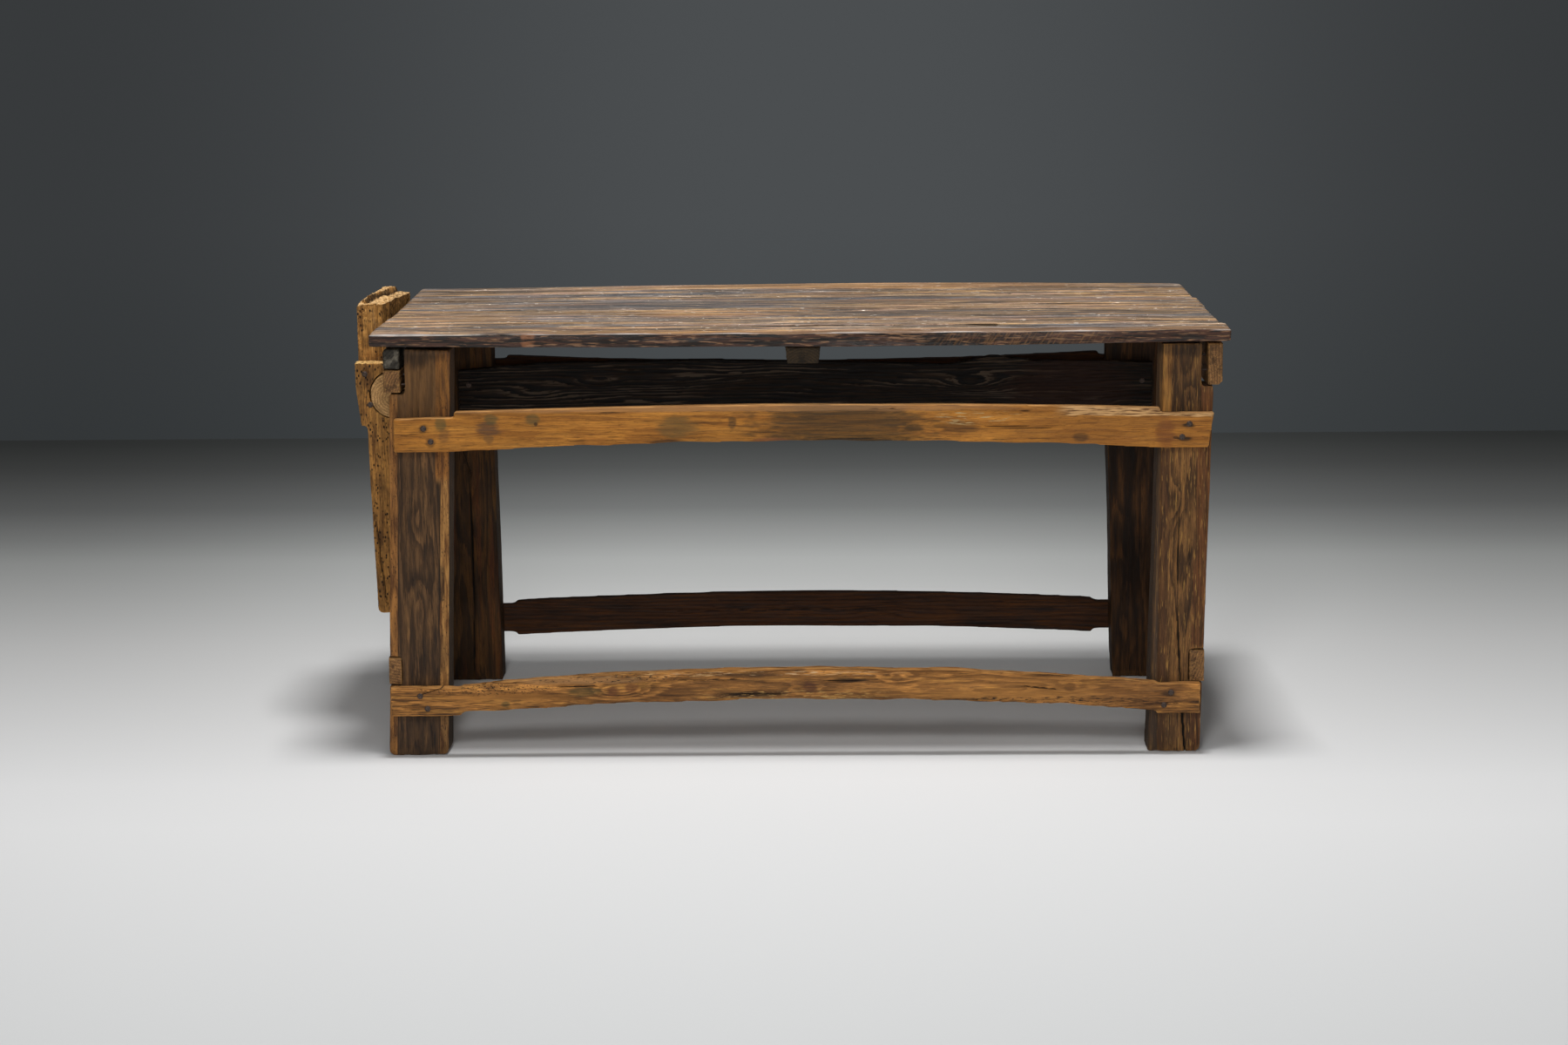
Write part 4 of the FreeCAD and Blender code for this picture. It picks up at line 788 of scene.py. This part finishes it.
def lower_rail_marks(tree, spot, colour):
    """Knots and bruises, a clean honey band at the left, a wormy and cracked
    upper side, and dark torn places along the lower arris."""
    colour = painted(tree, spot, colour, (
        ((-0.52, 0.112), (0.12, 0.014), "#8f602c", 0.8, 1.0),
        ((0.45, 0.115), (0.2, 0.012), "#936530", 0.5, 1.5),
        ((0.4, 0.12), (0.25, 0.03), "#9a6a36", 0.45, 1.7),
        ((0.0, 0.13), (0.2, 0.03), "#5a3d22", 0.4, 1.9),
        ((-0.40, 0.148), (0.13, 0.007), "#a0784e", 0.6, 2.0),
        ((-0.37, 0.127), (0.03, 0.008), "#453c22", 0.8, 3.0),
        ((-0.363, 0.100), (0.04, 0.004), "#20160f", 0.85, 4.0),
        ((-0.518, 0.103), (0.008, 0.006), "#454226", 0.8, 5.0),
        ((0.048, 0.133), (0.013, 0.010), "#4a2c1e", 0.85, 6.0),
        ((-0.055, 0.1205), (0.06, 0.005), "#23180f", 0.85, 7.0),
        ((0.115, 0.1455), (0.036, 0.004), "#23180f", 0.85, 8.0),
        ((-0.12, 0.103), (0.035, 0.003), "#1d140d", 0.85, 9.0),
        ((-0.075, 0.157), (0.05, 0.004), "#3a2a1b", 0.7, 10.0),
        ((0.529, 0.130), (0.012, 0.008), "#4d3018", 0.7, 11.0),
        ((0.21, 0.151), (0.012, 0.008), "#4d3018", 0.75, 12.0),
        ((0.549, 0.1056), (0.003, 0.0025), "#130d08", 0.9, 13.0),
        ((0.43, 0.0965), (0.07, 0.0035), "#2b2016", 0.8, 14.0),
        ((0.66, 0.12), (0.09, 0.03), "#5c3b20", 0.5, 15.0),
        ((0.715, 0.1177), (0.013, 0.005), "#191614", 0.8, 16.0),
        ((-0.317, 0.127), (0.011, 0.009), "#5f3820", 0.8, 17.0),
        ((-0.283, 0.1325), (0.012, 0.009), "#5f3820", 0.8, 18.0)))
    colour = flecked(tree, spot, colour, (
        ((-0.32, 0.152), (0.14, 0.008), "#1f1610", 19.0, (0.009, 0.0022)),
        ((-0.25, 0.158), (0.12, 0.005), "#c29a66", 20.0, (0.02, 0.0018)),
        ((-0.55, 0.133), (0.12, 0.010), "#23190f", 21.0, (0.005, 0.002)),
        ((0.02, 0.118), (0.16, 0.01), "#b08a50", 22.0, (0.018, 0.0016)),
        ((0.0, 0.16), (0.2, 0.004), "#c9a67c", 23.0, (0.03, 0.0018)),
        ((0.5, 0.105), (0.22, 0.008), "#1f1710", 24.0, (0.012, 0.0018))))
    under = reached(tree, spot, (0, -1, 0), -0.112, 0.012, 0.004, 25.0, reach=0.1)
    rough = add(tree, RANGE, stretched(tree, spot, 0.03, 0.003, 26.0, 3.0), 0.48, 0.62, 0.0, 0.6)
    return mixed(tree, add(tree, MATH, under, rough, operation="MULTIPLY"), colour, "#2d1e12")


def upper_rail_shape(spots):
    """The underside of the bow is hewn a little unevenly."""
    x, y, z = spots.T
    free = np.clip((0.62 - np.abs(x)) / 0.05, 0, 1) * np.clip((0.622 - z) / 0.02, 0, 1)
    spots[:, 2] = z + free * (0.0008 * (1 + np.sin(x * 27)) + 0.0005 * (1 + np.sin(x * 66 + 1)))


def lower_rail_shape(spots):
    """Both edges of the bow wander, as the axe left them."""
    x, y, z = spots.T
    centre = 0.1085 + 0.031 * np.clip(1 - (x / 0.7) ** 2, 0, 1)
    free = np.clip((0.64 - np.abs(x)) / 0.05, 0, 1)
    low, high = (np.clip(side * (centre - z) / 0.02, 0, 1) for side in (1, -1))
    spots[:, 2] = z + free * (
        low * (0.0013 * (1 + np.sin(x * 22 + 2)) + 0.0007 * (1 + np.sin(x * 63))) -
        high * (0.0006 * (1 + np.sin(x * 31 + 2)) + 0.0004 * (1 + np.sin(x * 73))))


upper_splits = ((0.372, 0.453, 0.6212, 0.0009, {"wander": 0.0008}),
                (0.384, 0.494, 0.6178, 0.0010, {"wander": 0.0008}),
                (0.431, 0.453, 0.650, 0.0009), (-0.7115, -0.66, 0.6115, 0.0007),
                (-0.62, -0.57, 0.6075, 0.0006), (-0.35, -0.28, 0.6505, 0.0007),
                (0.16, 0.245, 0.6545, 0.0007))
upper_rings = dict(pith=(0.60, -0.42), ring=0.0085, warp=0.016, reach=0.4, seed=31.0,
                   knots=((-0.42, 0.60, 0.012, 0.006), (0.66, 0.61, 0.014, 0.006)))
upper_wood = timber("honey_rail_upper", "xzy", "#a46c2a", "#78481a", upper_rings, fibre=0.0024,
                    contrast=0.3, ring_share=0.55, grime=0.2,
                    patches=(("#b67c34", 0.25, 0.02, 0.5, 0.66, 0.7),
                             ("#6a4016", 0.15, 0.008, 0.56, 0.7, 0.7)),
                    worn="#d69f5a", worn_share=0.6, dust="#dda566", dust_share=0.85,
                    marks=upper_rail_marks, seed=32.0, splits=upper_splits)
hewn("front_upper_rail", "xzy", upper_wood,
     aged("front_upper_rail", "xzy", upper_rings, upper_splits, ridge=0.0003, hollow=0.0012,
          wear=0.8, chips=0.05, split_depth=0.004, seed=33.0), grit=0.002,
     stretch=2.0, shape=upper_rail_shape)

lower_splits = ((0.43, 0.52, 0.1295, 0.0011, {"slope": -0.11, "wander": 0.002}),
                (-0.12, 0.0, 0.1205, 0.0014, {"wander": 0.003}),
                (0.07, 0.16, 0.1455, 0.0013, {"wander": 0.003}),
                (-0.685, -0.625, 0.129, 0.0011, {"slope": 0.28}), (-0.6, -0.46, 0.144, 0.0009),
                (0.66, 0.735, 0.0985, 0.0009), (-0.42, -0.34, 0.1365, 0.0012),
                (-0.2, -0.05, 0.148, 0.0010), (0.2, 0.42, 0.108, 0.0009))
lower_rings = dict(pith=(0.12, -0.40), ring=0.0075, warp=0.018, reach=0.3, seed=35.0,
                   knots=((-0.317, 0.127, 0.012, 0.016), (-0.283, 0.1325, 0.012, 0.016),
                          (0.21, 0.151, 0.012, 0.012), (0.048, 0.133, 0.012, 0.012),
                          (0.529, 0.13, 0.011, 0.01)))
lower_wood = timber("honey_rail_lower", "xzy", "#a8733a", "#4c2e14", lower_rings, fibre=0.0024,
                    contrast=0.5, ring_share=0.7, grime=0.3,
                    patches=(("#c08942", 0.16, 0.01, 0.54, 0.68, 0.75),
                             ("#472d17", 0.16, 0.01, 0.53, 0.66, 0.75)),
                    worn="#cf9c58", worn_share=0.6, dust="#c08b50", dust_share=0.7,
                    marks=lower_rail_marks, seed=36.0, splits=lower_splits)
hewn("front_lower_rail", "xzy", lower_wood,
     aged("front_lower_rail", "xzy", lower_rings, lower_splits, ridge=0.0008, hollow=0.003,
          hollow_along=0.1, hollow_across=0.02, wear=0.95, chips=0.07, split_depth=0.005,
          seed=37.0, blur=2), grit=0.002, stretch=2.0,
     shape=lower_rail_shape)


# -------------------------------------------------------------- the back rails
# Two more bowed boards on the rear faces of the back legs, dark with age.
rear_rings = dict(pith=(0.4, 0.45), ring=0.008, warp=0.016, reach=0.4, seed=41.0,
                  knots=((0.2, 0.125, 0.014, 0.01),))
rear_wood = timber("dark_back_rails", "xzy", "#391d04", "#180a02", rear_rings, fibre=0.0024,
                   contrast=0.4, patches=(("#462606", 0.25, 0.012, 0.53, 0.68, 0.7),
                                          ("#0e0501", 0.15, 0.02, 0.5, 0.66, 0.7)),
                   worn="#502f09", worn_share=0.4, seed=42.0)
for number, node in enumerate(("back_upper_rail", "back_lower_rail")):
    hewn(node, "xzy", rear_wood,
         aged(node, "xzy", rear_rings, ((-0.3, 0.3, 0.13, 0.001), (0.1, 0.5, 0.63, 0.001)),
              ridge=0.0005, hollow=0.002, wear=0.9, chips=0.05, seed=43.0 + number))


# -------------------------------------------------------------- the wide board
# A broad old board across the back legs. The soft wood has worn away and left
# the hard rings standing as deep ridges that bend round the knots.
def board_marks(tree, spot, colour):
    """Thin crests on the ridges painted pale, for wear and a painted highlight,
    reddish wood at the dry right end, and a black band of painted shadow along
    the upper edge that runs down to the left."""
    # worn crests and painted highlight: the ridge crests are painted pale
    crest_wear_and_highlight = growth(tree, spot, **board_rings)
    crest_wear_and_highlight = add(tree, RANGE, add(tree, MATH, crest_wear_and_highlight, stretched(
        tree, spot, 0.3, 0.02, 9.0, 3.0), operation="MULTIPLY"), 0.44, 0.56, 0.0, 0.85)
    colour = mixed(tree, crest_wear_and_highlight, colour, "#4d4033")
    colour = painted(tree, spot, colour, (((0.57, 0.60), (0.12, 0.07), "#2c150a", 0.6, 2.0),))
    # painted shadow: a black band along the upper edge, lower towards the left
    parts = add(tree, "ShaderNodeSeparateXYZ", spot).node.outputs
    lean = add(tree, RANGE, parts["X"], -0.42, -0.67, 0.0, 0.0215)
    height = add(tree, MATH, parts["Z"], lean)
    painted_shadow_band = add(tree, RANGE, add(tree, MATH, stretched(tree, spot, 0.1, 0.02, 5.0, 3.0), 0.004,
                                height, operation="MULTIPLY_ADD"), 0.6575, 0.6605, 0.0, 0.95)
    return mixed(tree, painted_shadow_band, colour, "#030201")


board_rings = dict(pith=(0.44, 0.30), ring=0.0075, warp=0.016, reach=0.3, seed=51.0,
                   knots=((-0.50, 0.60, 0.016, 0.012), (0.38, 0.615, 0.018, 0.022),
                          (-0.38, 0.625, 0.014, 0.012), (0.62, 0.565, 0.016, 0.01)))
board_wood = timber("ridged_dark_board", "xzy", "#040201", "#24170a", board_rings, fibre=0.0026,
                    contrast=0.6, ring_share=0.9,
                    patches=(("#150801", 0.3, 0.04, 0.54, 0.7, 0.6),
                             ("#040201", 0.25, 0.03, 0.48, 0.66, 0.7)), seed=52.0,
                    marks=board_marks)
hewn("wide_back_board", "xzy", board_wood,
     aged("wide_back_board", "xzy", board_rings, ridge=0.0026, hollow=0.002, wear=0.9,
          chips=0.03, seed=53.0), grit=0.002)


# ---------------------------------------------------------------- the fulcrum
# A round bar that the vise turns on, pegged up under the left end rail. Its
# end shows growth rings round the pith and drying checks.
bar_rings = dict(pith=(-0.748, 0.643), ring=0.0052, warp=0.0025, reach=0.2, seed=61.0)
bar_wood = timber("turned_bar_end_grain", "yxz", "#c29762", "#7e5b33", bar_rings, contrast=0.3,
                  patches=(("#7b5733", 0.1, 0.014, 0.52, 0.68, 0.6),), seed=62.0)
hewn("fulcrum_bar", "yxz", bar_wood,
     aged("fulcrum_bar", "yxz", bar_rings, ridge=0.0004, hollow=0.0006, wear=0.8, seed=63.0),
     grit=0.0019, stretch=2.0)
hewn("fulcrum_bar_pegs", "zxy", bar_wood,
     aged("fulcrum_bar_pegs", "zxy", bar_rings, ridge=0.0002, hollow=0.0004, wear=0.8, seed=64.0),
     grit=0.001, stretch=2.0)


# ------------------------------------------------------------------- the vise
# A thick jaw board and two hooked arms of pale soft wood, eaten by worm. The
# jaw's upper end has split and crumbled; it all hangs on the fulcrum bar.
def worm(tree, spot, colour):
    """Dark worm holes among brown, soft-edged patches of rot."""
    rot = add(tree, RANGE, stretched(tree, spot, 0.05, 0.02, 15.0, 4.0, rough=0.65), 0.46, 0.64)
    colour = mixed(tree, add(tree, MATH, rot, 0.6, operation="MULTIPLY"), colour, "#4a2f17")
    return mixed(tree, worm_holes(tree, spot, 0.44), colour, "#160d06")


def jaw_marks(tree, spot, colour):
    """Worm holes, an inner face painted darker as painted shade, a dark crack
    across the crumbled end, and a dark line of painted shadow down the inner
    front arris."""
    colour = worm(tree, spot, colour)
    # painted shade: the inner face is darkened
    inner = reached(tree, spot, (0, 0.06, 1), -0.7625, 0.001, 0.0015, 5.0)
    colour = mixed(tree, add(tree, MATH, inner, 0.55, operation="MULTIPLY"), colour, "#4d3518")
    parts = add(tree, "ShaderNodeSeparateXYZ", spot).node.outputs
    lines = [add(tree, MATH, parts["Y"], lean, place, operation="MULTIPLY_ADD")
             for lean, place in ((0.0612, -0.8074), (0.2319, -0.8245))]
    bent = add(tree, MATH, *lines, operation="MAXIMUM")
    wave = stretched(tree, spot, 0.03, 0.02, 6.0, 3.0)
    # the first line is a crack; the second, down the inner front arris, is painted shadow
    for line, wide, low, start, end in ((bent, 0.0050, 0.797, 0.0, 0.02),
                                        (-0.7665, 0.0028, 0.79, 0.2, -0.3)):
        off = add(tree, MATH, parts["Z"], line, operation="SUBTRACT")
        off = add(tree, MATH, wave, 0.006, off, operation="MULTIPLY_ADD")
        off = add(tree, MATH, add(tree, MATH, off, 0.003, operation="SUBTRACT"),
                  operation="ABSOLUTE")
        crack = add(tree, RANGE, off, wide, wide * 0.35)
        for value, first, last in ((parts["X"], low, low + 0.012), (parts["Y"], start, end)):
            crack = add(tree, MATH, crack, add(tree, RANGE, value, first, last),
                        operation="MULTIPLY")
        colour = mixed(tree, add(tree, MATH, crack, 0.9, operation="MULTIPLY"), colour, "#1d1108")
    return colour


def jaw_shape(spots):
    """The upper end: a high ridge along the outer side that widens to the
    back, a crack beside it, and a lower, crumbled part inside."""
    x, y, z = spots.T
    back = np.clip((y + 0.06) / 0.278, 0, 1)
    face = np.clip(1 - back / 0.16, 0, 1)
    across = (x + 0.8175 - 0.017 * back) / 0.053
    split = 0.2 + 0.32 * np.clip((y - 0.1) / 0.118, 0, 1) + 0.03 * np.sin(y * 90)
    up = np.clip((z - 0.775) / 0.05, 0, 1) ** 1.5
    ridge = np.clip((split - across) / 0.08 + 0.5, 0, 1)
    lumps = 0.5 + 0.5 * np.sin(y * 51 + x * 40) * np.sin(x * 170 - y * 33 + 1)
    inside = 0.0045 + 0.0065 * back * np.clip(0.35 + across, 0, 1) + 0.0035 * lumps
    drop = ridge * (0.0008 * (1 + np.sin(y * 55 + 1)) + 0.007 * face)
    drop += (1 - ridge) * (inside - 0.003 * face * across)
    valley = np.clip(1 - np.abs(across - split) / 0.1, 0, 1) * np.clip((y + 0.03) / 0.03, 0, 1)
    drop += 0.012 * valley ** 1.3
    spots[:, 2] = z - up * drop
    seam = np.clip(1 - np.abs(across - 0.72) / 0.05, 0, 1) * np.clip((z - 0.77) / 0.03, 0, 1)
    spots[:, 1] = y + 0.008 * seam * np.clip(1 - (y + 0.06) / 0.02, 0, 1)


vise_rings = dict(pith=(0.10, -0.70), ring=0.007, warp=0.012, reach=0.25, seed=71.0)
jaw_wood = timber("wormy_jaw_wood", "zyx", "#b28042", "#764c20", vise_rings, fibre=0.0024,
                  contrast=0.35, ring_share=0.35,
                  patches=(("#643f1d", 0.06, 0.012, 0.52, 0.66, 0.75),
                           ("#d8a25c", 0.06, 0.008, 0.56, 0.7, 0.7)),
                  pores=0.7, worn="#dfb57c", worn_share=0.5, dust="#efc48a", dust_share=0.95,
                  marks=jaw_marks, seed=72.0)
hewn("vise_jaw", "zyx", jaw_wood,
     aged("vise_jaw", "zyx", vise_rings, ridge=0.0009, thread=0.003, hollow=0.0018,
          hollow_along=0.08, wear=0.8, chips=0.05, seed=73.0, worms=0.0028),
     body="vise_chop", grit=0.0017, stretch=1.3, shape=jaw_shape)
arm_rings = dict(pith=(-0.78, -0.30), ring=0.0065, warp=0.012, reach=0.25, seed=75.0)
arm_wood = timber("wormy_arm_wood", "zxy", "#9d6e36", "#56391a", arm_rings, fibre=0.0024,
                  contrast=0.35, ring_share=0.35,
                  patches=(("#4b2e15", 0.08, 0.012, 0.5, 0.64, 0.8),
                           ("#c48f4b", 0.08, 0.008, 0.55, 0.68, 0.7)),
                  pores=0.7, worn="#eab264", worn_share=0.6, dust="#ffd186", dust_share=0.8,
                  marks=worm, seed=76.0)
for number, node in enumerate(("vise_front_arm", "vise_rear_arm")):
    hewn(node, "zxy", arm_wood,
         aged(node, "zxy", arm_rings, ((0.23, 0.42, -0.778, 0.0016, {"slope": -0.1}),),
              ridge=0.0005, hollow=0.0015, hollow_along=0.12, wear=0.95, chips=0.03,
              seed=77.0 + number, worms=0.0012), body="vise_chop",
         grit=0.0019, stretch=2.0)


# ------------------------------------------------------------------- the nails
# Forged iron nails with low faceted heads and square shanks, rusted brown and
# driven slightly crooked, two at each end of every rail.
def forged_nails():
    """A nail on each point, its head looking along the point's direction."""
    tree = bpy.data.node_groups.new("forged_nails", "GeometryNodeTree")
    face = tree.interface
    face.new_socket("Seats", in_out="INPUT", socket_type="NodeSocketGeometry")
    for label, value in (("Head radius", 0.0058), ("Head height", 0.0016),
                         ("Shank width", 0.0046), ("Shank length", 0.055)):
        face.new_socket(label, in_out="INPUT", socket_type="NodeSocketFloat").default_value = value
    face.new_socket("Iron", in_out="INPUT", socket_type="NodeSocketMaterial")
    face.new_socket("Nails", in_out="OUTPUT", socket_type="NodeSocketGeometry")
    given = tree.nodes.new("NodeGroupInput").outputs
    head = add(tree, "GeometryNodeMeshCone", links={
        "Vertices": 9, "Radius Top": add(tree, MATH, given["Head radius"], 0.62,
                                         operation="MULTIPLY"),
        "Radius Bottom": given["Head radius"], "Depth": given["Head height"]})
    half = add(tree, MATH, given["Shank width"], 0.7, operation="MULTIPLY")
    shank = add(tree, "GeometryNodeMeshCone", links={
        "Vertices": 4, "Radius Top": half, "Radius Bottom": 0.0012,
        "Depth": given["Shank length"]})
    drop = add(tree, "ShaderNodeCombineXYZ", 0.0, 0.0, add(
        tree, MATH, given["Shank length"], -1.0, operation="MULTIPLY"))
    shank = add(tree, "GeometryNodeTransform", shank, links={"Translation": drop})
    one = add(tree, "GeometryNodeJoinGeometry", head)
    tree.links.new(shank, one.node.inputs[0])
    turn = add(tree, "FunctionNodeAlignEulerToVector", links={"Vector": add(
        tree, "GeometryNodeInputNamedAttribute", "looks", data_type="FLOAT_VECTOR",
        out="Attribute")}, axis="Z")
    tilt = add(tree, "FunctionNodeRandomValue", links={
        "Min": (-0.03, -0.03, -0.6), "Max": (0.03, 0.03, 0.6), "Seed": 4},
        data_type="FLOAT_VECTOR", out="Value")
    turn = add(tree, "FunctionNodeRotateEuler", turn, links={"Rotate By": tilt},
               rotation_type="EULER", space="LOCAL")
    many = add(tree, "GeometryNodeInstanceOnPoints", given["Seats"], links={
        "Instance": one, "Rotation": turn})
    many = add(tree, "GeometryNodeRealizeInstances", many)
    many = add(tree, "GeometryNodeSetMaterial", many, links={"Material": given["Iron"]})
    tree.links.new(many, tree.nodes.new("NodeGroupOutput").inputs[0])
    return tree


rusty, tree = fresh_material("rusted_forged_iron")
spot = add(tree, "ShaderNodeTexCoord", out="Object")
grime = add(tree, NOISE, spot, links={"Scale": 420.0, "Detail": 3.0}, out="Fac")
tone = mixed(tree, add(tree, RANGE, grime, 0.35, 0.65), "#2b2624", "#5b4a40")
skin = add(tree, "ShaderNodeBsdfPrincipled", links={
    "Base Color": tone, "Metallic": 0.6, "Roughness": add(tree, RANGE, grime, 0.3, 0.7, 0.5, 0.8),
    "Normal": add(tree, "ShaderNodeBump", links={"Strength": 0.4, "Distance": 0.0005,
                                                 "Height": grime})}, out="BSDF")
add(tree, "ShaderNodeOutputMaterial", skin)

nail_tree = forged_nails()
for node, looks, body in (
        ("front_upper_rail_nails", (0, -1, 0), "bench"),
        ("front_lower_rail_nails", (0, -1, 0), "bench"),
        ("back_upper_rail_nails", (0, 1, 0), "bench"),
        ("back_lower_rail_nails", (0, 1, 0), "bench"),
        ("wide_back_board_nails", (0, -1, 0), "bench"),
        ("left_upper_end_rail_nails", (-1, 0, 0), "bench"),
        ("right_upper_end_rail_nails", (1, 0, 0), "bench"),
        ("left_lower_end_rail_nails", (-1, 0, 0), "bench"),
        ("right_lower_end_rail_nails", (1, 0, 0), "bench"),
        ("vise_front_arm_nails", (0, -1, 0), "vise_chop"),
        ("vise_rear_arm_nails", (0, 1, 0), "vise_chop")):
    # the seats are read from the solids: the middle of each nail's outermost face
    way = Vector(looks)
    points = [v.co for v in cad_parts[node].data.vertices]
    far = max(p.dot(way) for p in points)
    outer = [p for p in points if p.dot(way) > far - 1e-5]
    seats = []
    for p in outer:
        for group in seats:
            if (group[0] - p).length < 0.014:
                group.append(p)
                break
        else:
            seats.append([p])
    cloud = bpy.data.meshes.new(node + "_seats")
    cloud.from_pydata([sum(g, Vector()) / len(g) - way * 0.0022 for g in seats], [], [])
    mark = cloud.attributes.new("looks", "FLOAT_VECTOR", "POINT")
    mark.data.foreach_set("vector", list(looks) * len(seats))
    piece = bpy.data.objects.new("forged_" + node, cloud)
    scene.collection.objects.link(piece)
    made = piece.modifiers.new("forged", "NODES")
    made.node_group = nail_tree
    socket = next(i for i in nail_tree.interface.items_tree
                  if i.name == "Iron" and i.in_out == "INPUT")
    made[socket.identifier] = rusty
    seen = piece.evaluated_get(bpy.context.evaluated_depsgraph_get())
    mesh = bpy.data.meshes.new_from_object(seen)
    piece.modifiers.clear()
    piece.data = mesh
    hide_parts(node)
    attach(piece, body)
